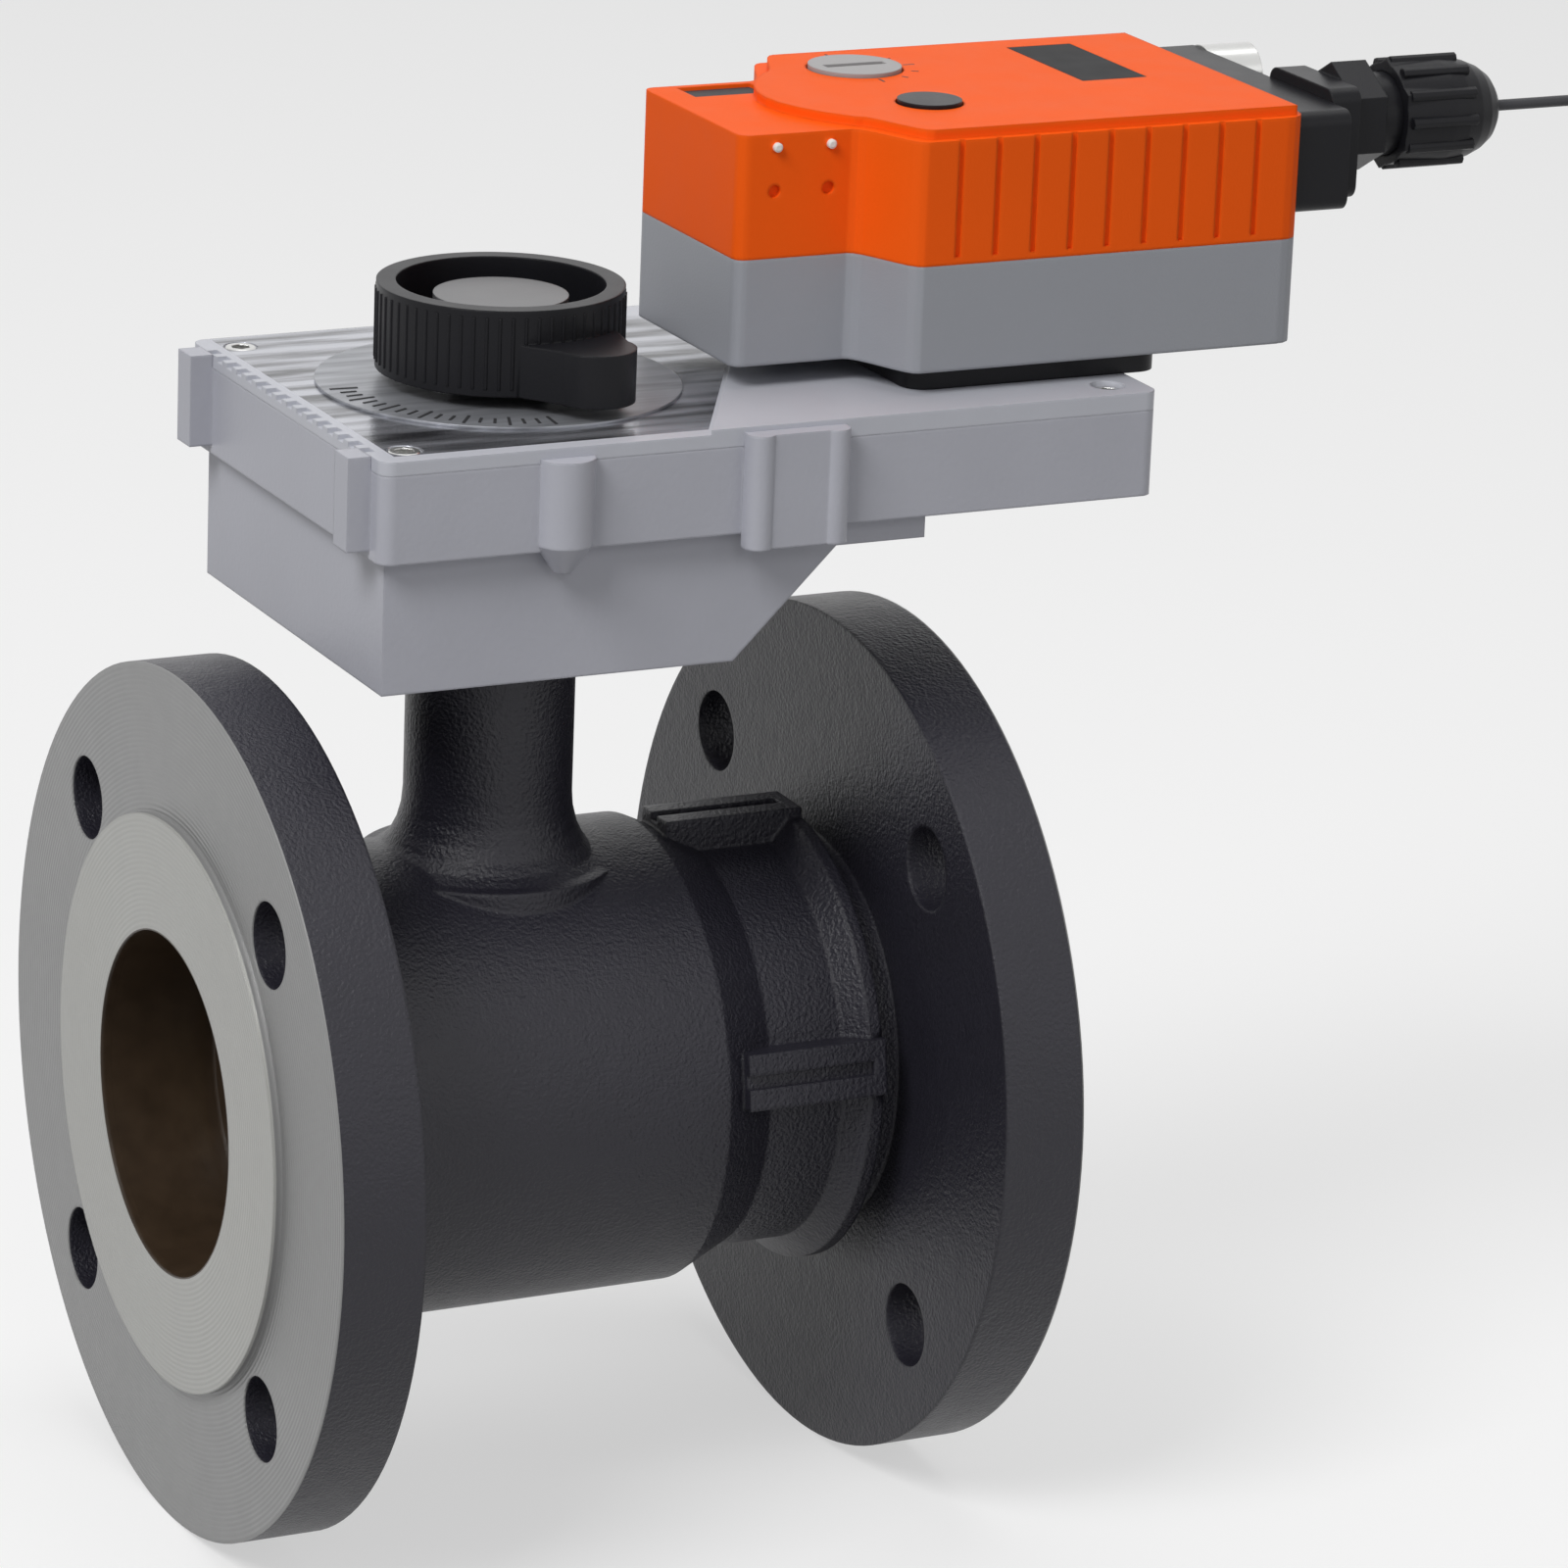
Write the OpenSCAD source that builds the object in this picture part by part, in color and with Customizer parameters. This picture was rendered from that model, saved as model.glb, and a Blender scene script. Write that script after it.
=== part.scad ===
// Proportional control valve: a flanged ball valve with a reduction gear housing and an electric actuator.
// The origin is the centre of the inlet's sealing face, +X runs along the pipe and +Z up the stem.

/* [Pipe flanges] */
// Length of the valve from face to face
face_to_face = 170; // [166:1:190]
// Outer diameter of each flange
flange_d = 185; // [178:1:200]
// Thickness of each flange with its raised face
flange_t = 20; // [16:1:22]
// Diameter of the raised sealing face
raised_d = 122; // [112:1:124]
// Height of the raised sealing face
raised_h = 2; // [1:0.5:3]
// Distance of the bolt holes' centres from the flange's edge
bolt_edge = 20; // [18:0.5:22]
// Diameter of each bolt hole
bolt_hole_d = 18; // [14:0.5:19]
// Number of bolts in each flange
bolt_count = 4; // [4:4:8]
// Diameter of the passage at the sealing faces
port_d = 73; // [62:1:76]
// Depth of the passage before it narrows
port_depth = 26; // [22:1:26]

/* [Valve body] */
// Diameter of the ball
ball_d = 74; // [68:1:76]
// Diameter of the hole through the ball
ball_bore_d = 46; // [36:1:48]
// Gap between the ball and the chamber
chamber_gap = 1.5; // [1:0.5:2]
// Diameter of the cast drum round the ball
drum_d = 101; // [98:1:106]
// Diameter of the narrow part behind the drum
waist_d = 90; // [88:1:92]
// Distance of the stem from the inlet face
stem_x = 72; // [72:1:74]
// Width of each cast rib over the waist
rib_w = 12; // [6:0.5:14]
// Diameter of the neck
neck_d = 35.6; // [34:0.2:38]
// Height of the neck's top above the pipe's axis
neck_top = 99.8; // [96:0.2:106]
// Diameter of the stem
stem_d = 16; // [15:0.5:16]

/* [Gear housing] */
// Distance from the drive shaft's axis to the housing's far end
housing_overhang = 36.3; // [34:0.1:50]
// Width of the gear housing's upper part
housing_w = 103.4; // [101:0.2:110]
// Height of the gear housing with its cover
housing_h = 50.7; // [50.2:0.1:54]
// Wall of the gear housing
housing_wall = 4; // [3:0.5:4]
// Thickness of the housing's cover
cover_t = 3; // [3:0.5:4]
// Outer diameter of the position indicator
indicator_d = 51.4; // [48:0.2:54]
// Height of the position indicator's ring
indicator_h = 18; // [15:0.5:22]

/* [Gears] */
// Teeth of the gear on the stem
stem_teeth = 52; // [50:2:52]
// Teeth of the small idler gear
idler_small_teeth = 14; // [14:1:15]
// Teeth of the large idler gear
idler_large_teeth = 63; // [62:1:63]
// Teeth cut in the drive shaft
drive_teeth = 20; // [20:1:21]
// Teeth of the actuator's gear
actuator_teeth = 48; // [46:1:48]
// Teeth of the motor's pinion
motor_teeth = 12; // [12:1:13]
// Tooth size of the stem's gear pair
coarse_module = 1.5; // [1.48:0.01:1.52]
// Tooth size of the other gears
fine_module = 1; // [0.98:0.01:1.02]
// Play along the pitch circle of each pair
tooth_play = 0.3; // [0.2:0.05:0.4]

/* [Actuator] */
// Length of the actuator
actuator_len = 124.4; // [124:0.2:130]
// Width of the actuator's wide part
actuator_w = 80; // [78:0.5:84]
// Width of the actuator's narrow nose
nose_w = 48; // [46:0.5:52]
// Height of the actuator's grey base
base_h = 22.5; // [22:0.5:26]
// Height of the actuator's coloured cover
lid_h = 26.1; // [26:0.1:30]
// Wall of the actuator's case
case_wall = 2.5; // [2:0.25:3]
// Diameter of the release button
button_d = 14; // [11:0.5:15]
// Travel of the release button
button_travel = 2.5; // [1.5:0.5:3]
// Diameter of the direction dial
dial_d = 20; // [16:0.5:22]
// Number of grooves along each side of the cover
groove_count = 9; // [5:1:10]

/* [Lead] */
// Diameter of the connection lead
lead_d = 2.4; // [2.2:0.1:2.5]
// Diameter of the cable gland's nut
gland_d = 24; // [22:0.5:26]

/* [Fits] */
// Radial clearance of a shaft in its bush
run_fit = 0.05; // [0.03:0.01:0.08]
// Gap between pieces that move past each other
move_gap = 0.4; // [0.3:0.05:0.5]
// Gap round a piece that is dropped into its seat
seat_gap = 0.1; // [0.05:0.05:0.2]

/* [Hidden] */
$fn = 64;
// Overrun of every cut past the face that it opens
cut = 1;

// Sizes that the flanges and the body follow
flange_r = flange_d / 2;
raised_r = raised_d / 2;
bolt_circle_r = flange_r - bolt_edge;
port_r = port_d / 2;
outlet_back = face_to_face - flange_t;
collar_len = 7;
body_end = outlet_back - collar_len;
ball_r = ball_d / 2;
ball_bore_r = ball_bore_d / 2;
chamber_r = ball_r + chamber_gap;
shoulder_r = 30;
shoulder_t = 6;
chamber_x = port_depth + shoulder_t;
drum_r = drum_d / 2;
waist_r = waist_d / 2;
drum_end = 107;
waist_start = 119;
ring_r = 50;
ring_t = 3;
ring_flare = 4;
rib_r = drum_r + 1.2;
rib_start = 111;
rib_turns = [0, 81, -81];
rib_groove_w = 3;
rib_groove_t = 1.5;
hub_fillet = 4;
collar_r = 43;
disc_t = 2.5;
seat_lip_r = 25;
seal_d = 3;
seal_in = 6;

// Sizes of the neck and the stem, heights from the pipe's axis
neck_r = neck_d / 2;
flare_base = 47;
flare_w = 9.5;
flare_h = 15;
spigot_r = 14;
spigot_h = 10;
stem_r = stem_d / 2;
tang_w = 9.8;
tang_len = 24;
tang_depth = 7.5;
stem_collar_r = 12;
stem_collar_t = 3.2;
washer_t = 1;
stem_floor_t = 4;
pocket_r = 11;
lower_bush_len = 12;
seal_t = 3;
gland_thread_len = 14;
gland_head_r = 13.5;
gland_head_t = 4;
collar_base = ball_r + move_gap;
washer_base = collar_base + stem_collar_t + move_gap;
pocket_base = washer_base + washer_t + stem_floor_t;
lower_bush_top = pocket_base + lower_bush_len;
seals_top = lower_bush_top + 2 * seal_t + 3 * move_gap;
spigot_top = neck_top + spigot_h;
gland_base_z = spigot_top - gland_thread_len;

// Sizes of the gear housing
housing_x = 24.3;
housing_half = housing_w / 2;
housing_top = neck_top + housing_h;
platform_h = 1;
cover_top = housing_top - platform_h;
cover_base = cover_top - cover_t;
upper_h = 22.3;
upper_base = housing_top - upper_h;
skirt_inset = 4.4;
skirt_half = housing_half - skirt_inset;
skirt_lead = 2.7;
skirt_x = housing_x + skirt_lead;
slope_start = 105;
slope_end = 127.7;
step_x = 148;
slope_rise = 22.6;
slope_top = neck_top + slope_rise;
corner_r = 3;
ear_w = 7;
ear_inset = 5.7;
ear_lead = 5;
ear_h = 19.5;
boss_r = 6.1;
boss_x = 64.5;
boss_h = 20;
boss_tail = 6;
boss_tip_r = 2;
panel_x = 103.5;
panel_w = 22.9;
panel_t = 4;
panel_h = 24;
tooth_count = 16;
rim_tooth_w = 3;
rim_tooth_l = 2.2;
rim_tooth_t = 1;
border_x = 96.2;
border_slant = 58;
screw_inset = 8;
screw_r = 2;
screw_head_r = 3.5;
screw_head_t = 2;
screw_len = 12;
post_r = 5;
nut_r = 22;
nut_t = 6;

// Gears, with the pitch radius of each
stem_pitch_r = coarse_module * stem_teeth / 2;
idler_small_r = coarse_module * idler_small_teeth / 2;
idler_large_r = fine_module * idler_large_teeth / 2;
drive_pitch_r = fine_module * drive_teeth / 2;
actuator_pitch_r = fine_module * actuator_teeth / 2;
motor_pitch_r = fine_module * motor_teeth / 2;
idler_x = stem_x + stem_pitch_r + idler_small_r;
drive_x = idler_x + idler_large_r + drive_pitch_r;
motor_x = drive_x + actuator_pitch_r + motor_pitch_r;
housing_end = drive_x + housing_overhang;
gear_w = 5.5;
gear_play = 1.1;
stem_gear_base = cover_base - gear_play - gear_w;
idler_top = cover_base - move_gap;
wheel_base = upper_base + housing_wall + 2 * move_gap;
gear_hub_r = 12;
gear_hub_base = spigot_top + gland_head_t + 2 * move_gap;
stem_square = 11;
indicator_square = 8;
stem_top_r = 6;
idler_pin_r = 3;
idler_boss_r = 6;
idler_pin_sink = 8;
pin_top_sink = 2;
drive_r = 4;
drive_journal_r = 3;
drive_sink = 2.6;
drive_square = 5.6;
drive_journal_top_r = 2.5;
drive_bush_t = 2;
pressure_angle = 20;

// Position indicator
indicator_r = indicator_d / 2;
indicator_base = cover_top + 3.5;
indicator_top = indicator_base + indicator_h;
indicator_wall = 4;
indicator_floor = 8;
spindle_r = 14;
spindle_t = 5;
lever_reach = 40;
lever_r = 8.5;
lever_h = 11;
lever_angle = -76;
lever_root_x = 14;
lever_root_half = 16;
scale_r = 38;
scale_t = 0.6;
scale_hole_r = 14;

// Actuator, from its nose to its far end
adapter_x = 149;
adapter_end = 208;
adapter_half = 36;
adapter_h = 4.8;
adapter_base = housing_top;
base_z = adapter_base + adapter_h;
seam_z = base_z + base_h;
lid_top = seam_z + lid_h;
nose_x = 113.9;
actuator_end = nose_x + actuator_len;
wide_half = actuator_w / 2;
nose_half = nose_w / 2;
flare_x = 139;
flare_len = 10;
nose_corner = 2.5;
end_corner = 5;
floor_t = 3;
top_h = 2.1;
lid_face = lid_top + top_h;
top_inset = 2;
top_x = 131;
post_small_r = 4;
case_screw_r = 1.6;
case_screw_head_r = 3.2;
case_screw_t = 2;
case_screw_len = 32;
nose_screw = [6, 6];
end_screw = [6.8, 6.8];
groove_w = 1.3;
groove_t = 0.8;
groove_pitch = 8.7;
groove_x = 156;
groove_low = 1.5;
dot_r = 1.4;
dot_t = 0.6;
dot_top = 2.6;
hole_drop = 12;
dot_x = [122, 134.3];
recess_x = 121;
recess_y = 13;
recess_w = 9;
recess_l = 17;
recess_t = 1.2;

// Inside the actuator
plate_z = 10.5;
plate_t = 2.2;
plate_x = 151;
plate_end = 224;
plate_half = 34;
plate_screw = 5;
spacer_r = 3;
plate_screw_r = 1.2;
plate_head_r = 2.4;
plate_head_t = 1;
actuator_gear_lift = 4.5;
motor_r = 18;
motor_h = 19;
motor_shaft_r = 1.5;
motor_shaft_in = 4;
board_x = 180;
board_end = 226;
board_half = 30;
board_t = 1.6;
board_drop = 11;
relay_l = 12;
relay_w = 9;
relay_h = 6;

// Button, dial and window in the cover
button_r = button_d / 2;
button_x = 162;
button_y = -14;
button_proud = 0.8;
button_head_t = 5;
button_stem_r = 2.6;
button_foot_r = 3.4;
button_foot_t = 1.2;
well_wall = 1.8;
well_floor = 1.6;
spring_len = 5;
spring_gap = 0.3;
spring_r = 5.6;
spring_wire = 1.4;
dial_r = dial_d / 2;
dial_x = 162;
dial_y = 21;
dial_t = 2;
dial_proud = 0.8;
dial_shaft_r = 3;
dial_slot_w = 2.4;
dial_slot_t = 1;
dial_slot_r = 7;
dial_foot_t = 1.4;
window_x = 203.5;
window_y = -4;
window_l = 15.5;
window_w = 35;
window_t = 1.6;

// Terminal box, gland and plug at the far end
box_t = 12.7;
box_y = -36;
box_w = 72;
box_h = 21.6;
box_wall = 2;
box_drop = 0.5;
box_base = lid_top - box_drop - box_h;
box_end = actuator_end + box_t;
block_clear = 4;
block_h = 12;
block_t = 7;
block_ways = 5;
way_r = 1.5;
plug_edge = 6;
plug_r = 7;
plug_head_t = 12;
plug_thread_r = 5;
gland_y = -14;
gland_rise = 15.2;
gland_z = box_base + gland_rise;
gland_r = gland_d / 2;
gland_plate_t = 7;
gland_plate_w = 27;
gland_plate_h = 24;
gland_plate_lug = 3;
gland_hex_t = 8.5;
gland_neck_t = 5;
gland_neck_r = 9;
gland_hole_r = 6;
block_y = gland_y + gland_hole_r + 2 * box_wall;
block_l = box_y + box_w - box_wall - block_clear - block_y;
plug_y = box_y + box_w - plug_edge;
gland_nut_len = 26;
gland_nut_hex = 12;
gland_mouth_r = 1.7;
gland_nut_wall = 2.5;
gland_x = box_end;
neck_x = gland_x + gland_plate_t + gland_hex_t;
nut_x = neck_x + gland_neck_t;
nut_end = nut_x + gland_nut_len;
lead_r = lead_d / 2;

// Route of the lead from inside the gland to the top of its coil
LEAD = [
    [273, -14, 197], [281, -14, 197], [289, -14, 197], [297, -14, 197], [304, -14, 197],
    [311, -14, 197], [318, -14, 197], [326, -14.2, 196.9], [333.9, -15.4, 196.4], [341.4, -17.7, 194.9],
    [348, -21.3, 192.4], [353.3, -26, 188.6], [356.7, -31.1, 183.5], [358.4, -35.9, 177.3],
    [359.4, -39.5, 170.3],
    [360.1, -42, 162.8], [360.5, -43.3, 154.9], [360.6, -43.9, 146.9], [360.7, -44, 138.9],
    [360.7, -44, 118],
    [360.7, -44, 96], [360.7, -44, 70], [360.7, -44, 40], [360.7, -44, 10], [360.7, -44, -20],
    [360.7, -44, -40], [360.7, -44.5, -52], [360.7, -46, -62], [360.7, -50, -71], [360.7, -56, -77.5],
    [360.7, -63, -80.7], [360.7, -68, -81], [360.7, -72, -81],
];
lead_steps = 2;
coil_turns = 8;
coil_layers = 4;
coil_rings = 24;
coil_pitch = 2.9;
layer_pitch = 3;
coil_mid_r = 13;
coil_out_r = coil_mid_r + coil_pitch * coil_turns / coil_layers / 2;
coil_start = LEAD[len(LEAD) - 1];
coil_x = coil_start[0] + coil_out_r;
coil_y = coil_start[1] - lead_d;
coil_end_z = coil_start[2] - layer_pitch * (coil_layers - 1);
tie_gap = 0.3;
tie_t = 1;
tie_w = 3;
core_r = 0.36;
core_len = 16;
core_ring_r = 0.6;
core_count = 3;
core_tip_r = 0.2;
core_tip_len = 5;

// Places and curves that follow from the sizes above
seat_x = chamber_x + disc_t;
seat_face = sqrt(ball_r * ball_r - seat_lip_r * seat_lip_r) - move_gap;
inlet_seat_end = stem_x - seat_face;
outlet_seat_x = stem_x + (stem_x - seat_x);
tail_r = chamber_r - seat_gap;
screw_places = [
    for (x = [housing_x + screw_inset, housing_end - screw_inset],
        y = [-housing_half + screw_inset, housing_half - screw_inset]) [x, y, 0]
];
actuator_gear_z = base_z + actuator_gear_lift;
plate_base = base_z + plate_z;
adapter_places = [
    for (x = [adapter_x + screw_inset, housing_end - 2 * screw_inset],
        y = [-adapter_half + screw_inset, adapter_half - screw_inset]) [x, y, 0]
];
case_screw_places = [
    for (side = [-1, 1]) each [
        [nose_x + nose_screw[0], side * (nose_half - nose_screw[1]), 0],
        [actuator_end - end_screw[0], side * (wide_half - end_screw[1]), 0],
    ]
];
plate_screw_places = [
    for (x = [plate_x + plate_screw, plate_end - plate_screw], side = [-1, 1])
        [x, side * (plate_half - plate_screw), 0]
];
board_posts = [
    for (x = [board_x + spacer_r, board_end - spacer_r], side = [-1, 1])
        [x, side * (board_half - spacer_r), 0]
];
well_low = lid_face - button_head_t - button_travel - spring_len + button_travel + button_proud;
well_base = well_low - well_floor;
lead_points = concat(
    [for (i = [0:len(LEAD) - 2], k = [0:lead_steps - 1]) on_route(LEAD, i, k / lead_steps)], [coil_start]
);
// Centre line of the coil: each layer spirals in or out and climbs in the half turn where it reverses
turns_per_layer = coil_turns / coil_layers;
coil_points = concat(
    [coil_start],
    [for (i = [0:coil_turns * coil_rings]) let (s = i / coil_rings)
        [coil_x - coil_r(s) * cos(360 * s), coil_y - coil_r(s) * sin(360 * s), coil_z(s)]],
    [[coil_x - coil_out_r, coil_y - lead_d, coil_end_z]]
);
coil_gap = min([
    for (i = [0:len(coil_points) - 1], j = [i + coil_rings / 2:len(coil_points) - 1])
        if (j < len(coil_points)) norm(coil_points[i] - coil_points[j])
]) - lead_d;
lead_length = sum_length(lead_points) + sum_length(coil_points);

// Cylinder along X from one place to another
module bar(x0, x1, r) {
    translate([x0, 0, 0]) rotate([0, 90, 0]) cylinder(h = x1 - x0, r = r);
}

// Upright cylinder between two heights
module post(z0, z1, r) {
    translate([0, 0, z0]) cylinder(h = z1 - z0, r = r);
}

// Solid of revolution about X, from points of radius and place
module spun(points) {
    rotate([0, 90, 0]) rotate_extrude() polygon(points);
}

// Block between two corners
module block(low, high) {
    translate(low) cube(high - low);
}

// Outline along X and Z, extruded to both sides of the middle plane
module slab(points, half) {
    translate([0, half, 0]) rotate([90, 0, 0]) linear_extrude(2 * half) polygon(points);
}

// Block with round upright corners
module rounded(low, high, r) {
    size = high - low;
    translate([0, 0, low[2]]) linear_extrude(size[2]) union() {
        translate([low[0] + r, low[1]]) square([size[0] - 2 * r, size[1]]);
        translate([low[0], low[1] + r]) square([size[0], size[1] - 2 * r]);
        for (x = [low[0] + r, high[0] - r], y = [low[1] + r, high[1] - r]) translate([x, y]) circle(r);
    }
}

// Upright square bar
module square_post(z0, z1, side) {
    translate([-side / 2, -side / 2, z0]) cube([side, side, z1 - z0]);
}

// Flat ring
module ring(z0, z1, r_in, r_out) {
    difference() {
        post(z0, z1, r_out);
        post(z0 - cut, z1 + cut, r_in);
    }
}

// The four or more bolt holes of a flange
module bolt_holes(x0, x1) {
    for (i = [0:bolt_count - 1])
        rotate([180 / bolt_count + i * 360 / bolt_count, 0, 0]) translate([0, 0, bolt_circle_r])
            bar(x0 - cut, x1 + cut, bolt_hole_d / 2);
}

module valve_body() {
    color("#37343a")
    difference() {
        union() {
            spun([
                [0, 0], [raised_r, 0], [raised_r, raised_h], [flange_r, raised_h], [flange_r, flange_t],
                [drum_r + hub_fillet, flange_t], [drum_r, flange_t + hub_fillet], [drum_r, drum_end],
                [waist_r, waist_start], [waist_r, body_end - ring_t - ring_flare],
                [ring_r, body_end - ring_t],
                [ring_r, body_end], [0, body_end],
            ]);
            translate([stem_x, 0, 0]) neck_form();
            for (turn = rib_turns) rotate([turn, 0, 0]) rib_form();
        }
        bar(-cut, port_depth, port_r);
        bar(0, chamber_x + cut, shoulder_r);
        bar(chamber_x, body_end + cut, chamber_r);
        bolt_holes(0, flange_t);
        translate([stem_x, 0, 0]) {
            post(0, washer_base + washer_t, stem_collar_r + move_gap);
            post(0, pocket_base + cut, stem_r + move_gap);
            post(pocket_base, spigot_top + cut, pocket_r);
        }
    }
}

// The upright neck, flared into the drum, with the spigot that the housing sits on
module neck_form() {
    flare = [for (a = [0:15:90]) [neck_r + flare_w * (1 - sin(a)), flare_base + flare_h * (1 - cos(a))]];
    rotate_extrude() polygon(concat(
        [[0, washer_base], [neck_r + flare_w, washer_base]], flare,
        [[neck_r, neck_top], [spigot_r, neck_top], [spigot_r, spigot_top], [0, spigot_top]]
    ));
}

// One cast rib over the waist, with a groove along it
module rib_form() {
    difference() {
        block([rib_start, -rib_w / 2, waist_r - ring_t], [body_end, rib_w / 2, rib_r]);
        block(
            [rib_start - cut, -rib_groove_w / 2, rib_r - rib_groove_t],
            [body_end - ring_t, rib_groove_w / 2, rib_r + cut]
        );
    }
}

module tail_piece() {
    color("#37343a")
    difference() {
        spun([
            [0, outlet_seat_x], [tail_r, outlet_seat_x], [tail_r, outlet_seat_x + seal_in],
            [tail_r - seal_d, outlet_seat_x + seal_in], [tail_r - seal_d, outlet_seat_x + seal_in + seal_d],
            [tail_r, outlet_seat_x + seal_in + seal_d], [tail_r, body_end], [collar_r, body_end],
            [collar_r, outlet_back], [flange_r, outlet_back], [flange_r, face_to_face - raised_h],
            [raised_r, face_to_face - raised_h], [raised_r, face_to_face], [0, face_to_face],
        ]);
        bar(outlet_seat_x - cut, face_to_face, shoulder_r);
        bar(face_to_face - port_depth, face_to_face + cut, port_r);
        bolt_holes(outlet_back, face_to_face);
    }
}

module tail_seal() {
    color("#1c1c1c")
    spun([
        [tail_r - seal_d, outlet_seat_x + seal_in + seat_gap], [tail_r, outlet_seat_x + seal_in + seat_gap],
        [tail_r, outlet_seat_x + seal_in + seal_d - seat_gap],
        [tail_r - seal_d, outlet_seat_x + seal_in + seal_d - seat_gap],
    ]);
}

// Plate before the ball whose opening shapes the flow: a slot that widens into a round
module control_disc() {
    slot_half = ball_bore_r / 6;
    color("#b9bbbd")
    difference() {
        bar(chamber_x, seat_x, tail_r);
        translate([chamber_x - cut, 0, 0]) rotate([90, 0, 90]) linear_extrude(disc_t + 2 * cut) union() {
            polygon([
                [-ball_bore_r * 0.8, slot_half / 2], [ball_bore_r / 3, ball_bore_r / 2],
                [ball_bore_r / 3, -ball_bore_r / 2], [-ball_bore_r * 0.8, -slot_half / 2],
            ]);
            translate([ball_bore_r / 3, 0]) circle(ball_bore_r / 2);
        }
    }
}

// Seat ring between a flat face and the ball
module seat_form() {
    difference() {
        spun([
            [seat_lip_r, seat_x], [tail_r, seat_x], [tail_r, inlet_seat_end], [seat_lip_r, inlet_seat_end],
        ]);
        translate([stem_x, 0, 0]) sphere(ball_r + move_gap);
    }
}

module inlet_seat() {
    color("#e6e3da") seat_form();
}

module outlet_seat() {
    color("#e6e3da") translate([2 * stem_x, 0, 0]) mirror([1, 0, 0]) seat_form();
}

// Ball, shown closed with its hole across the pipe
module ball() {
    color("#c9a35b")
    translate([stem_x, 0, 0]) difference() {
        sphere(ball_r);
        rotate([90, 0, 0]) cylinder(h = 2 * ball_r + 2 * cut, r = ball_bore_r, center = true);
        block(
            [-tang_w / 2 - seat_gap, -tang_len / 2 - seat_gap, ball_r - tang_depth - seat_gap],
            [tang_w / 2 + seat_gap, tang_len / 2 + seat_gap, ball_r + cut]
        );
    }
}

module stem() {
    square_base = gear_hub_base - move_gap;
    color("#a9a9a4")
    translate([stem_x, 0, 0]) union() {
        intersection() {
            block(
                [-tang_w / 2, -tang_len / 2, ball_r - tang_depth], [tang_w / 2, tang_len / 2, collar_base]
            );
            post(0, collar_base, stem_collar_r);
        }
        post(collar_base, collar_base + stem_collar_t, stem_collar_r);
        post(collar_base, square_base, stem_r);
        square_post(square_base, idler_top, stem_square);
        post(idler_top, cover_top, stem_top_r);
        square_post(cover_top, indicator_top - spindle_t - seat_gap, indicator_square);
    }
}

module thrust_washer() {
    color("#e6e3da")
    translate([stem_x, 0, 0]) ring(washer_base, washer_base + washer_t, stem_r + move_gap, stem_collar_r);
}

module lower_bush() {
    color("#b8893f")
    translate([stem_x, 0, 0]) ring(pocket_base, lower_bush_top, stem_r + run_fit, pocket_r);
}

module stem_seals() {
    color("#1c1c1c")
    translate([stem_x, 0, 0])
        for (i = [0, 1]) {
            low = lower_bush_top + move_gap + i * (seal_t + move_gap);
            ring(low, low + seal_t, stem_r + move_gap, pocket_r);
        }
}

module upper_bush() {
    color("#b8893f")
    translate([stem_x, 0, 0]) ring(seals_top, gland_base_z, stem_r + run_fit, pocket_r);
}

module gland_ring() {
    color("#9a9a98")
    translate([stem_x, 0, 0]) {
        ring(gland_base_z, spigot_top, stem_r + move_gap, pocket_r);
        ring(spigot_top, spigot_top + gland_head_t, stem_r + move_gap, gland_head_r);
    }
}

// Side outline of the housing's lower part, drawn in by an inset
function skirt_outline(inset) = [
    [skirt_x + inset, neck_top + inset], [slope_start - inset / 2, neck_top + inset],
    [slope_end - inset / 2, slope_top + inset], [step_x - inset, slope_top + inset],
    [step_x - inset, upper_base + housing_wall], [skirt_x + inset, upper_base + housing_wall],
];

module gear_housing() {
    color("#a3a5aa")
    difference() {
        union() {
            difference() {
                housing_form();
                block(
                    [housing_x + housing_wall, -housing_half + housing_wall, upper_base + housing_wall],
                    [housing_end - housing_wall, housing_half - housing_wall, cover_base + cut]
                );
                slab(skirt_outline(housing_wall), skirt_half - housing_wall);
                slab([
                    [skirt_x + housing_wall, upper_base], [step_x - housing_wall, upper_base],
                    [step_x - housing_wall, upper_base + housing_wall + cut],
                    [skirt_x + housing_wall, upper_base + housing_wall + cut],
                ], skirt_half - housing_wall);
            }
            for (p = screw_places) translate(p) post(upper_base + cut, cover_base, post_r);
            translate([idler_x, 0, 0]) post(slope_top, wheel_base - move_gap, idler_boss_r);
        }
        for (p = screw_places) translate(p) post(cover_base - screw_len, cover_base + cut, screw_r);
        translate([idler_x, 0, 0])
            post(wheel_base - idler_pin_sink, wheel_base + cut, idler_pin_r);
        translate([drive_x, 0, 0])
            post(upper_base + housing_wall - drive_sink, wheel_base, drive_journal_r + run_fit);
        translate([stem_x, 0, 0]) post(neck_top - cut, neck_top + housing_wall + cut, spigot_r + seat_gap);
    }
}

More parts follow.
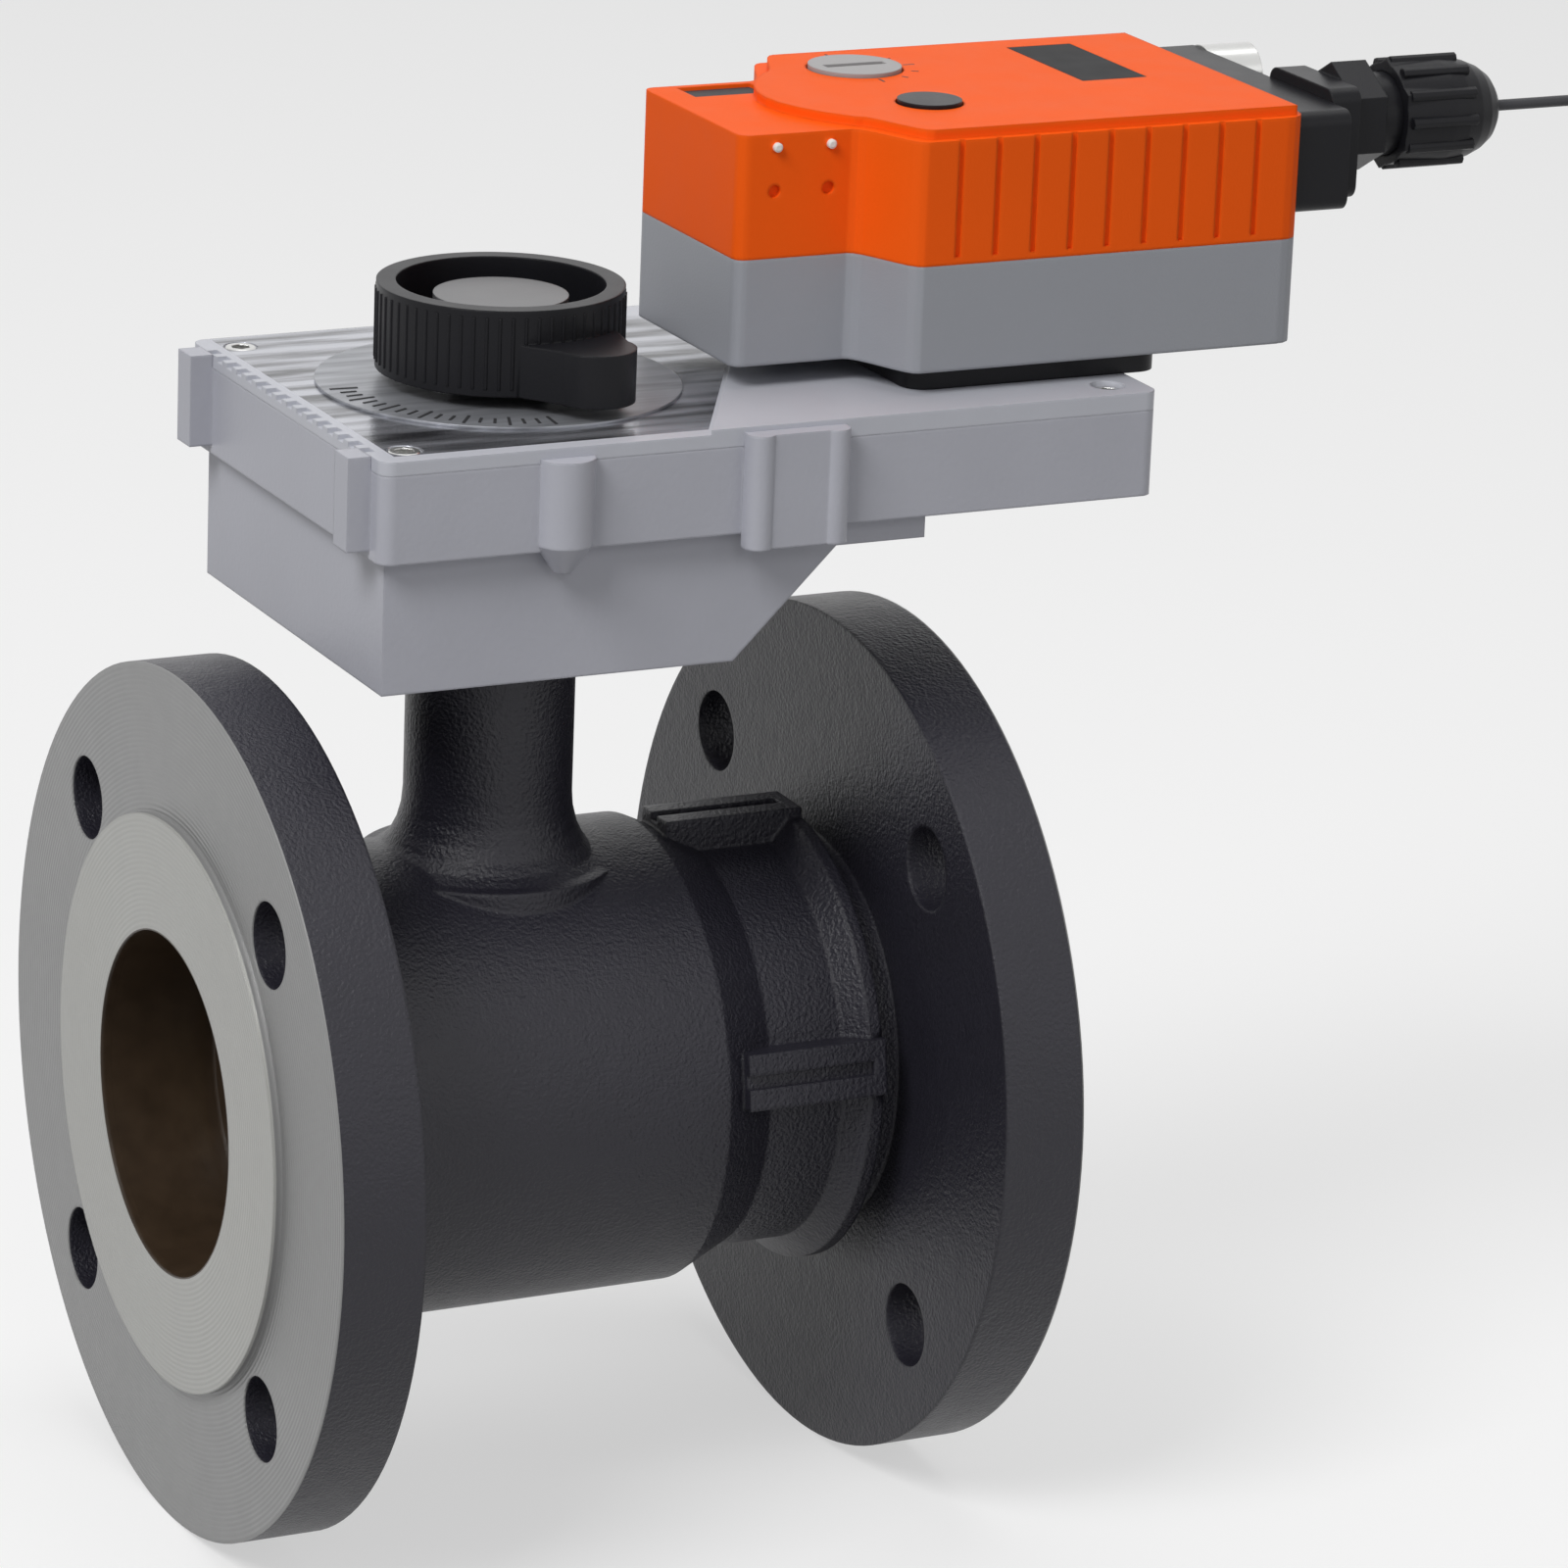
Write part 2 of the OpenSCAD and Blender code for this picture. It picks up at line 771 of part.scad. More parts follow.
// Outer form of the housing with its ears and bosses
module housing_form() {
    front = -housing_half;
    rounded([housing_x, front, upper_base], [housing_end, housing_half, cover_base], corner_r);
    slab(skirt_outline(0), skirt_half);
    difference() {
        union() {
            for (y0 = [ear_inset - housing_half, housing_half - ear_inset - ear_w])
                block(
                    [housing_x - ear_lead, y0, cover_top - ear_h],
                    [housing_x + cut, y0 + ear_w, cover_top]
                );
            translate([boss_x, front + cut, 0]) {
                post(cover_top - boss_h, cover_top - 2 * platform_h, boss_r);
                translate([0, 0, cover_top - boss_h - boss_tail])
                    cylinder(h = boss_tail, r1 = boss_tip_r, r2 = boss_r);
            }
            rounded(
                [panel_x, front - panel_t, cover_top - panel_h], [panel_x + panel_w, front + cut, cover_top],
                corner_r
            );
        }
        block([housing_x, front, cover_base], [housing_end, housing_half, housing_top]);
    }
}

module mounting_nut() {
    color("#9a9a98")
    translate([stem_x, 0, neck_top + housing_wall]) difference() {
        cylinder(h = nut_t, r = nut_r, $fn = 6);
        translate([0, 0, -cut]) cylinder(h = nut_t + 2 * cut, r = spigot_r + seat_gap);
    }
}

module housing_cover() {
    front = -housing_half;
    tooth_pitch = (housing_w - 2 * screw_inset) / tooth_count;
    color("#b4b6bc")
    difference() {
        union() {
            rounded([housing_x, front, cover_base], [housing_end, housing_half, cover_top], corner_r);
            intersection() {
                rounded([housing_x, front, cover_base], [housing_end, housing_half, housing_top], corner_r);
                translate([0, 0, cover_top]) linear_extrude(platform_h) polygon([
                    [border_x, front], [housing_end, front], [housing_end, housing_half],
                    [border_x + border_slant, housing_half],
                ]);
            }
        }
        for (p = screw_places) translate(p) {
            post(cover_base - cut, housing_top + cut, screw_r);
            post(cover_top - screw_head_t, housing_top + cut, screw_head_r + seat_gap);
        }
        for (i = [0:tooth_count - 1]) {
            y = front + screw_inset + (i + 0.5) * tooth_pitch;
            block(
                [housing_x - cut, y - rim_tooth_w / 2, cover_top - rim_tooth_t],
                [housing_x + rim_tooth_l, y + rim_tooth_w / 2, cover_top + cut]
            );
        }
        translate([stem_x, 0, 0]) post(cover_base - cut, cover_top + cut, stem_top_r + run_fit);
        translate([idler_x, 0, 0]) post(cover_base - cut, cover_base + pin_top_sink, idler_pin_r);
        translate([drive_x, 0, 0])
            post(cover_base - cut, housing_top + cut, drive_r + run_fit + drive_bush_t);
        for (p = adapter_places) translate(p) post(cover_base - cut, housing_top + cut, screw_r);
    }
}

module cover_screws() {
    color("#8a8a88")
    for (p = screw_places) translate(p) {
        post(cover_top - screw_head_t, cover_top, screw_head_r);
        post(cover_base - screw_len, cover_top - screw_head_t, screw_r);
    }
}

// Spur gear with flanks that are chords of the involute, one tooth centred on the turn given
module gear_form(teeth, size, base, top, turn) {
    pitch_r = teeth * size / 2;
    tip_r = pitch_r + 0.9 * size;
    root_r = pitch_r - 1.2 * size;
    half = 90 / teeth - (tooth_play / 4) / pitch_r * 180 / PI;
    foot_r = max(root_r, pitch_r * cos(pressure_angle));
    tip_half = half - flank(tip_r, pitch_r) + flank(pitch_r, pitch_r);
    foot_half = half + flank(pitch_r, pitch_r) - flank(foot_r, pitch_r);
    points = [
        for (i = [0:teeth - 1], side = [-1, 1])
            let (a = turn + i * 360 / teeth)
            each side < 0
                ? [polar(root_r, a - foot_half), polar(tip_r, a - tip_half)]
                : [polar(tip_r, a + tip_half), polar(root_r, a + foot_half)]
    ];
    translate([0, 0, base]) linear_extrude(top - base) polygon(points);
}

// Involute angle in degrees at a radius of a gear with the pitch radius given
function flank(r, pitch_r) =
    let (base_r = pitch_r * cos(pressure_angle), a = acos(min(1, base_r / r)))
    tan(a) * 180 / PI - a;

function polar(r, a) = [r * cos(a), r * sin(a)];

// Turn that puts a gap of a gear opposite the tooth of the gear on its left
function meshed(teeth) = 180 - 180 / teeth;

module stem_gear() {
    color("#8f9093")
    translate([stem_x, 0, 0]) difference() {
        union() {
            gear_form(stem_teeth, coarse_module, stem_gear_base, stem_gear_base + gear_w, 0);
            post(gear_hub_base, stem_gear_base, gear_hub_r);
        }
        square_post(gear_hub_base - cut, stem_gear_base + gear_w + cut, stem_square + 2 * seat_gap);
    }
}

module idler_pin() {
    color("#a9a9a4")
    translate([idler_x, 0, 0]) post(wheel_base - idler_pin_sink, cover_base + pin_top_sink, idler_pin_r);
}

module idler_gear() {
    color("#8f9093")
    translate([idler_x, 0, 0]) difference() {
        union() {
            gear_form(idler_large_teeth, fine_module, wheel_base, wheel_base + gear_w, 0);
            gear_form(
                idler_small_teeth, coarse_module, wheel_base + gear_w, idler_top, meshed(idler_small_teeth)
            );
        }
        post(wheel_base - cut, idler_top + cut, idler_pin_r + run_fit);
    }
}

module drive_shaft() {
    color("#a9a9a4")
    translate([drive_x, 0, 0]) {
        post(upper_base + housing_wall - drive_sink + seat_gap, wheel_base, drive_journal_r);
        gear_form(drive_teeth, fine_module, wheel_base, wheel_base + gear_w, meshed(drive_teeth));
        post(wheel_base + gear_w, actuator_gear_z - seat_gap, drive_r);
        square_post(actuator_gear_z - seat_gap, actuator_gear_z + gear_w - seat_gap, drive_square);
        post(actuator_gear_z + gear_w - seat_gap, plate_base + plate_t, drive_journal_top_r);
    }
}

module drive_bush() {
    color("#b8893f")
    translate([drive_x, 0, 0])
        ring(cover_base, housing_top, drive_r + run_fit, drive_r + run_fit + drive_bush_t);
}

// Plate with the angle scale under the indicator
module scale_plate() {
    color("#c9cace")
    translate([stem_x, 0, 0]) ring(cover_top, cover_top + scale_t, scale_hole_r, scale_r);
}

module indicator() {
    floor_z = indicator_base + indicator_floor;
    color("#18181a")
    translate([stem_x, 0, 0]) difference() {
        union() {
            ring(floor_z, indicator_top, indicator_r - indicator_wall, indicator_r);
            post(indicator_base, floor_z + cut, indicator_r);
            post(cover_top + move_gap, indicator_base + cut, spindle_r - indicator_wall);
            rotate([0, 0, lever_angle]) {
                translate([lever_reach - lever_r, 0, 0])
                    post(indicator_base, indicator_base + lever_h, lever_r);
                translate([0, 0, indicator_base]) linear_extrude(lever_h) polygon([
                    [lever_root_x, -lever_root_half], [lever_reach - lever_r, -lever_r],
                    [lever_reach - lever_r, lever_r], [lever_root_x, lever_root_half],
                ]);
            }
        }
        square_post(cover_top, indicator_top, indicator_square + 2 * seat_gap);
    }
}

module spindle_disc() {
    low = indicator_base + indicator_floor + cut;
    color("#6f7074")
    translate([stem_x, 0, 0]) difference() {
        post(low, indicator_top - spindle_t / 2, spindle_r);
        square_post(low - cut, indicator_top - spindle_t + cut / 2, indicator_square + 2 * seat_gap);
    }
}

module adapter_plate() {
    color("#1d1e20")
    difference() {
        rounded([adapter_x, -adapter_half, adapter_base], [adapter_end, adapter_half, base_z], end_corner);
        translate([drive_x, 0, 0]) post(adapter_base - cut, base_z + cut, drive_r + 2 * move_gap);
        for (p = adapter_places) translate(p) {
            post(adapter_base - cut, base_z + cut, screw_r);
            post(base_z - screw_head_t, base_z + cut, screw_head_r + seat_gap);
        }
    }
}

module adapter_screws() {
    color("#8a8a88")
    for (p = adapter_places) translate(p) {
        post(base_z - screw_head_t, base_z, screw_head_r);
        post(cover_base, base_z - screw_head_t, screw_r);
    }
}

// Points of an arc
function arc(x, y, r, a0, a1) = [for (k = [0:4]) [x, y] + polar(r, a0 + (a1 - a0) * k / 4)];

// Side of the case where the nose flares into the wide part
function flare(i) = [
    for (t = [0:0.125:1]) [
        flare_x + i + t * flare_len,
        nose_half - i + (wide_half - nose_half) * (1 - cos(180 * t)) / 2,
    ]
];

// Outline of the case seen from above, drawn in by an inset
function case_outline(i) = let (
    x0 = nose_x + i + nose_corner, x1 = actuator_end - i - end_corner,
    n = nose_half - i - nose_corner, w = wide_half - i - end_corner, side = flare(i)
) concat(
    arc(x0, -n, nose_corner, 180, 270), [for (p = side) [p[0], -p[1]]],
    arc(x1, -w, end_corner, 270, 360), arc(x1, w, end_corner, 0, 90),
    [for (k = [len(side) - 1:-1:0]) side[k]], arc(x0, n, nose_corner, 90, 180)
);

module case_prism(low, high, inset) {
    translate([0, 0, low]) linear_extrude(high - low) polygon(case_outline(inset));
}

module actuator_base() {
    color("#7b7f84")
    difference() {
        union() {
            difference() {
                case_prism(base_z, seam_z, 0);
                case_prism(base_z + floor_t, seam_z + cut, case_wall);
            }
            for (p = case_screw_places) translate(p) post(base_z + cut, seam_z, post_small_r);
            for (p = plate_screw_places) translate(p) post(base_z + cut, plate_base, spacer_r);
        }
        for (p = case_screw_places) translate(p) {
            post(base_z - cut, seam_z + cut, case_screw_r);
            post(base_z - cut, base_z + case_screw_t, case_screw_head_r + seat_gap);
        }
        for (p = plate_screw_places) translate(p) post(base_z + floor_t, plate_base + cut, plate_screw_r);
        translate([drive_x, 0, 0]) post(base_z - cut, base_z + floor_t + cut, drive_r + 2 * move_gap);
    }
}

module case_screws() {
    color("#8a8a88")
    for (p = case_screw_places) translate(p) {
        post(base_z, base_z + case_screw_t, case_screw_head_r);
        post(base_z + case_screw_t, base_z + case_screw_len, case_screw_r);
    }
}

module actuator_gear() {
    color("#e6e3da")
    translate([drive_x, 0, 0]) difference() {
        gear_form(actuator_teeth, fine_module, actuator_gear_z, actuator_gear_z + gear_w, 0);
        square_post(actuator_gear_z - cut, actuator_gear_z + gear_w + cut, drive_square + 2 * seat_gap);
    }
}

module gear_plate() {
    color("#b9bbbd")
    difference() {
        block([plate_x, -plate_half, plate_base], [plate_end, plate_half, plate_base + plate_t]);
        translate([drive_x, 0, 0])
            post(plate_base - cut, plate_base + plate_t + cut, drive_journal_top_r + run_fit);
        translate([motor_x, 0, 0])
            post(plate_base - cut, plate_base + plate_t + cut, motor_shaft_r + move_gap);
        for (p = plate_screw_places) translate(p)
            post(plate_base - cut, plate_base + plate_t + cut, plate_screw_r);
    }
}

module plate_screws() {
    color("#8a8a88")
    for (p = plate_screw_places) translate(p) {
        post(plate_base + plate_t, plate_base + plate_t + plate_head_t, plate_head_r);
        post(base_z + floor_t, plate_base + plate_t, plate_screw_r);
    }
}

module motor() {
    low = plate_base + plate_t;
    color("#b9bbbd")
    translate([motor_x, 0, 0]) difference() {
        post(low, low + motor_h, motor_r);
        post(low - cut, low + motor_shaft_in + move_gap, motor_shaft_r + run_fit);
    }
}

module motor_pinion() {
    color("#c9a35b")
    translate([motor_x, 0, 0]) {
        gear_form(motor_teeth, fine_module, actuator_gear_z, actuator_gear_z + gear_w, meshed(motor_teeth));
        post(actuator_gear_z + gear_w, plate_base + plate_t + motor_shaft_in, motor_shaft_r);
    }
}

// Control board with two relays on top, on four studs of the cover
module circuit_board() {
    low = lid_top - board_drop;
    color("#2f6b3c") {
        block([board_x, -board_half, low], [board_end, board_half, low + board_t]);
        for (side = [-1, 1])
            translate([board_x + relay_l, side * board_half / 2, low + board_t])
                translate([-relay_l / 2, -relay_w / 2, 0]) cube([relay_l, relay_w, relay_h]);
    }
}

module actuator_cover() {
    inner_top = lid_top - case_wall;
    color("#f06a1f")
    difference() {
        union() {
            difference() {
                case_prism(seam_z, lid_top, 0);
                case_prism(seam_z - cut, inner_top, case_wall);
            }
            top_form();
            for (p = case_screw_places) translate(p) post(seam_z, inner_top + cut / 2, post_small_r);
            for (p = board_posts) translate(p)
                post(lid_top - board_drop + board_t, inner_top + cut / 2, spacer_r);
            translate([button_x, button_y, 0])
                post(well_base, inner_top + cut / 2, button_r + move_gap + well_wall);
            for (x = dot_x) translate([x, -nose_half + dot_t, lid_top - dot_top]) sphere(dot_r);
        }
        for (p = case_screw_places) translate(p)
            post(seam_z - cut, base_z + case_screw_len + cut, case_screw_r);
        translate([button_x, button_y, 0]) {
            post(well_low, lid_face + cut, button_r + move_gap / 2);
            post(well_base - cut, well_low + cut, button_stem_r + move_gap / 2);
        }
        translate([dial_x, dial_y, 0]) {
            post(lid_face - dial_t + dial_proud, lid_face + cut, dial_r + move_gap);
            post(inner_top - cut, lid_face + cut, dial_shaft_r + run_fit);
        }
        translate([window_x, window_y, lid_face - window_t]) cube([window_l, window_w, window_t + cut]);
        translate([recess_x, recess_y, lid_top - recess_t]) cube([recess_l, recess_w, recess_t + cut]);
        for (x = dot_x) translate([x, -nose_half, lid_top - hole_drop])
            rotate([90, 0, 0]) cylinder(h = case_wall, r = dot_r, center = true);
        for (side = [-1, 1], i = [0:groove_count - 1])
            block(
                [groove_x + i * groove_pitch, side * wide_half - groove_t, seam_z + groove_low],
                [groove_x + i * groove_pitch + groove_w, side * wide_half + groove_t, lid_top + cut]
            );
    }
}

// Raised part of the cover's top, with its bowed front edge
module top_form() {
    side = flare(top_inset);
    x1 = actuator_end - top_inset;
    half = wide_half - top_inset;
    bow = [for (t = [1:-0.25:-1]) [top_x + (side[0][0] - top_x) * t * t, side[0][1] * t]];
    translate([0, 0, lid_top - cut / 2]) linear_extrude(top_h + cut / 2) polygon(concat(
        [for (p = side) [p[0], -p[1]]], [[x1, -half], [x1, half]], [for (k = [len(side) - 1:-1:1]) side[k]],
        bow
    ));
}

module release_button() {
    head_low = lid_face + button_proud - button_head_t;
    foot_top = well_base - seat_gap;
    color("#18181a")
    translate([button_x, button_y, 0]) {
        post(head_low, head_low + button_head_t, button_r - move_gap / 2);
        post(foot_top, head_low, button_stem_r);
        post(foot_top - button_foot_t, foot_top, button_foot_r);
    }
}

// Return spring under the button's head, as the sleeve of space that its wire fills
module button_spring() {
    head_low = lid_face + button_proud - button_head_t;
    color("#a9a9a4")
    translate([button_x, button_y, 0])
        ring(well_low, head_low - spring_gap, spring_r - spring_wire, spring_r);
}

module direction_dial() {
    low = lid_face - dial_t + dial_proud;
    foot_top = lid_top - case_wall - seat_gap;
    color("#d9dadc")
    translate([dial_x, dial_y, 0]) difference() {
        union() {
            post(low + seat_gap, low + dial_t, dial_r);
            post(lid_top - case_wall - 2 * seat_gap, low + cut, dial_shaft_r);
            post(foot_top - dial_foot_t, foot_top, dial_shaft_r + cut);
        }
        translate([-dial_slot_r, -dial_slot_w / 2, low + dial_t - dial_slot_t])
            cube([2 * dial_slot_r, dial_slot_w, dial_slot_t + cut]);
    }
}

module display_window() {
    color("#101012")
    translate([window_x + seat_gap, window_y + seat_gap, lid_face - window_t])
        cube([window_l - 2 * seat_gap, window_w - 2 * seat_gap, window_t]);
}

module terminal_box() {
    color("#1d1e20")
    difference() {
        rounded_x([actuator_end, box_y, box_base], [box_end, box_y + box_w, box_base + box_h], corner_r);
        block(
            [actuator_end - cut, box_y + box_wall, box_base + box_wall],
            [box_end - box_wall, box_y + box_w - box_wall, box_base + box_h - box_wall]
        );
        translate([0, gland_y, gland_z]) bar(box_end - box_wall - cut, box_end + cut, gland_hole_r);
        translate([0, plug_y, gland_z]) bar(box_end - box_wall - cut, box_end + cut, plug_thread_r);
    }
}

// Block with round corners along X
module rounded_x(low, high, r) {
    translate([low[0], 0, 0]) rotate([90, 0, 90]) linear_extrude(high[0] - low[0]) union() {
        translate([low[1] + r, low[2]]) square([high[1] - low[1] - 2 * r, high[2] - low[2]]);
        translate([low[1], low[2] + r]) square([high[1] - low[1], high[2] - low[2] - 2 * r]);
        for (y = [low[1] + r, high[1] - r], z = [low[2] + r, high[2] - r]) translate([y, z]) circle(r);
    }
}

module terminal_block() {
    way = block_l / block_ways;
    color("#4a7a4d")
    translate([actuator_end, block_y, box_base + box_wall]) difference() {
        cube([block_t, block_l, block_h]);
        for (i = [0:block_ways - 1]) translate([block_t / 2, (i + 0.5) * way, block_h / 2])
            cylinder(h = block_h, r = way_r);
    }
}

module blanking_plug() {
    color("#8d9094")
    translate([0, plug_y, gland_z]) {
        bar(box_end, box_end + plug_head_t, plug_r);
        bar(box_end - box_wall, box_end, plug_thread_r);
    }
}

module gland_base() {
    half = gland_plate_w / 2;
    hex_x = gland_x + gland_plate_t;
    color("#151517")
    translate([0, gland_y, 0]) difference() {
        union() {
            rounded_x(
                [gland_x, -half, gland_z - gland_plate_h / 2 - gland_plate_lug],
                [hex_x, half, gland_z + gland_plate_h / 2 - gland_plate_lug], corner_r
            );
            translate([0, 0, gland_z]) {
                bar(box_end - box_wall, gland_x, gland_hole_r);
                translate([hex_x, 0, 0]) rotate([0, 90, 0]) cylinder(h = gland_hex_t, r = gland_r, $fn = 6);
                bar(neck_x, nut_x + gland_nut_hex, gland_neck_r);
            }
        }
        translate([0, 0, gland_z]) {
            bar(gland_x - box_wall - cut, nut_x + gland_nut_hex + cut, lead_r + move_gap);
            bar(nut_x, nut_x + gland_nut_hex + cut, gland_hole_r);
        }
    }
}

module gland_seal() {
    color("#2b2b2d")
    translate([0, gland_y, gland_z]) difference() {
        bar(nut_x, nut_x + gland_nut_hex, gland_hole_r);
        bar(nut_x - cut, nut_x + gland_nut_hex + cut, lead_r);
    }
}

// Nut with six flats and a domed end
module gland_nut() {
    nose = [
        for (a = [0:15:75])
            [gland_mouth_r + gland_nut_wall + (gland_r - gland_mouth_r - gland_nut_wall - cut / 2) * cos(a),
                nut_x + gland_nut_hex + (gland_nut_len - gland_nut_hex) * sin(a)]
    ];
    color("#151517")
    translate([0, gland_y, gland_z]) difference() {
        union() {
            translate([nut_x, 0, 0]) rotate([0, 90, 0]) cylinder(h = gland_nut_hex, r = gland_r, $fn = 6);
            spun(concat(
                [[0, nut_x], [gland_r - cut, nut_x], [gland_r - cut / 2, nut_x + gland_nut_hex]], nose,
                [[gland_mouth_r + gland_nut_wall, nut_end], [0, nut_end]]
            ));
        }
        bar(nut_x - cut, nut_x + gland_nut_hex + cut, gland_neck_r + seat_gap);
        bar(nut_x, nut_end + cut, gland_mouth_r);
    }
}

// Point on a smooth curve through the route, at a share of its span
function on_route(p, i, t) = let (
    n = len(p) - 1, a = p[max(0, i - 1)], b = p[i], c = p[min(n, i + 1)], d = p[min(n, i + 2)]
) (2 * b + (c - a) * t + (2 * a - 5 * b + 4 * c - d) * t * t + (3 * b - a - 3 * c + d) * t * t * t) / 2;

function unit(v) = v / norm(v);

// Tube along points, with straight caps, as rings of the given number of sides
module tube(points, r, sides, up, first, last) {
    n = len(points);
    rings = [
        for (i = [0:n - 1]) let (
            along = i == 0 ? first : i == n - 1 ? last : unit(points[i + 1] - points[i - 1]),
            u = unit(cross(along, up)), v = cross(along, u)
        ) for (j = [0:sides - 1]) points[i] + r * (cos(360 * j / sides) * u + sin(360 * j / sides) * v)
    ];
    end = (n - 1) * sides;
    faces = concat(
        [for (i = [0:n - 2], j = [0:sides - 1]) [i * sides + j, (i + 1) * sides + (j + 1) % sides,
            i * sides + (j + 1) % sides]],
        [for (i = [0:n - 2], j = [0:sides - 1]) [i * sides + j, (i + 1) * sides + j,
            (i + 1) * sides + (j + 1) % sides]],
        [for (j = [1:sides - 2]) [0, j, j + 1]],
        [for (j = [1:sides - 2]) [end, end + j + 1, end + j]]
    );
    polyhedron(points = rings, faces = faces);
}

module lead() {
    color("#4b4b4f") tube(lead_points, lead_r, 8, [1, 1, 0], [1, 0, 0], [0, -1, 0]);
}

function coil_r(s) = let (k = floor(s / turns_per_layer), f = s / turns_per_layer - k)
    coil_out_r - coil_pitch * turns_per_layer * (k % 2 == 0 ? f : 1 - f);
function coil_z(s) = let (k = round(s / turns_per_layer), near = s - k * turns_per_layer)
    k == 0 ? coil_start[2]
    : k == coil_layers ? coil_end_z
    : coil_start[2] - layer_pitch * (k - 0.5 + max(-0.5, min(0.5, 2 * near)));
function sum_length(p) = [for (i = [1:len(p) - 1]) norm(p[i] - p[i - 1])] * [for (i = [1:len(p) - 1]) 1];

module lead_coil() {
    echo(coil_gap = coil_gap, lead_length = lead_length);
    color("#4b4b4f") tube(coil_points, lead_r, 6, [0, 0, 1], [0, -1, 0], [0, -1, 0]);
}

// Flat band round the coil, on the side away from where the lead comes in
module lead_tie() {
    bundle = coil_pitch * (turns_per_layer - 1) / 2 + lead_r + tie_gap;
    low = coil_end_z - lead_r - tie_gap;
    high = coil_start[2] + lead_r + tie_gap;
    color("#101012")
    translate([coil_x + coil_mid_r, coil_y, 0]) difference() {
        block([-bundle - tie_t, -tie_w / 2, low - tie_t], [bundle + tie_t, tie_w / 2, high + tie_t]);
        block([-bundle, -tie_w / 2 - cut, low], [bundle, tie_w / 2 + cut, high]);
    }
}

// Stripped cores at the free end
module lead_cores() {
    color("#c77f3a")
    for (i = [0:core_count - 1])
        translate([coil_x - coil_out_r, coil_y - lead_d, coil_end_z] + core_place(i)) rotate([90, 0, 0]) {
            cylinder(h = core_len, r = core_r);
            cylinder(h = core_len + core_tip_len, r = core_tip_r);
        }
}

function core_place(i) = let (p = polar(core_ring_r, 90 + 360 * i / core_count)) [p[0], 0, p[1]];

valve_body();
tail_piece();
tail_seal();
control_disc();
inlet_seat();
outlet_seat();
ball();
stem();
thrust_washer();
lower_bush();
stem_seals();
upper_bush();
gland_ring();
gear_housing();
mounting_nut();
housing_cover();
cover_screws();
stem_gear();
idler_pin();
idler_gear();
drive_shaft();
drive_bush();
scale_plate();
indicator();
spindle_disc();
adapter_plate();
adapter_screws();
actuator_base();
case_screws();
actuator_gear();
gear_plate();
plate_screws();
motor();
motor_pinion();
circuit_board();
actuator_cover();
release_button();
button_spring();
direction_dial();
display_window();
terminal_box();
terminal_block();
blanking_plug();
gland_base();
gland_seal();
gland_nut();
lead();
lead_coil();
lead_tie();
lead_cores();
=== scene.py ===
import logging
import math
from collections.abc import Iterable, Sequence
from dataclasses import dataclass, field
from enum import Enum

import bmesh
import bpy
from mathutils import Matrix, Vector


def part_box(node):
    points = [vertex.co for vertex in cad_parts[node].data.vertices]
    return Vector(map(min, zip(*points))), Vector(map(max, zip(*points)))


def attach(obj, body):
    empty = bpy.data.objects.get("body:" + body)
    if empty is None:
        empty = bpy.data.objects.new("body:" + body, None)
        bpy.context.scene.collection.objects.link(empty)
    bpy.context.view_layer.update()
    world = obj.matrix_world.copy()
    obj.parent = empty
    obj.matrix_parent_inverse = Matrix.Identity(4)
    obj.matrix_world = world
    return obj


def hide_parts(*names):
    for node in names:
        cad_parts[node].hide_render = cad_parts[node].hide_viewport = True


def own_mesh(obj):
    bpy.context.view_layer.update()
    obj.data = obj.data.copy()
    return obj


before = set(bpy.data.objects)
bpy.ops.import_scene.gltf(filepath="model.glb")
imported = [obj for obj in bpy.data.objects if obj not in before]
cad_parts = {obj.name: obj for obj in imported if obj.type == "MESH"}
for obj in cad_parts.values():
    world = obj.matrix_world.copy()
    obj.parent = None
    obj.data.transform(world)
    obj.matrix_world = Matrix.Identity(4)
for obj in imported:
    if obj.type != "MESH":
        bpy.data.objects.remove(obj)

LOG = logging.getLogger("control_valve")
Colour = tuple[float, float, float]
Point = tuple[float, float, float]


class Grain(Enum):
    """How a surface feels, which sets its bump."""

    SMOOTH = "smooth"
    CAST = "sand cast"
    PAINTED = "painted casting"
    MOULDED = "moulded"
    BRUSHED = "brushed"


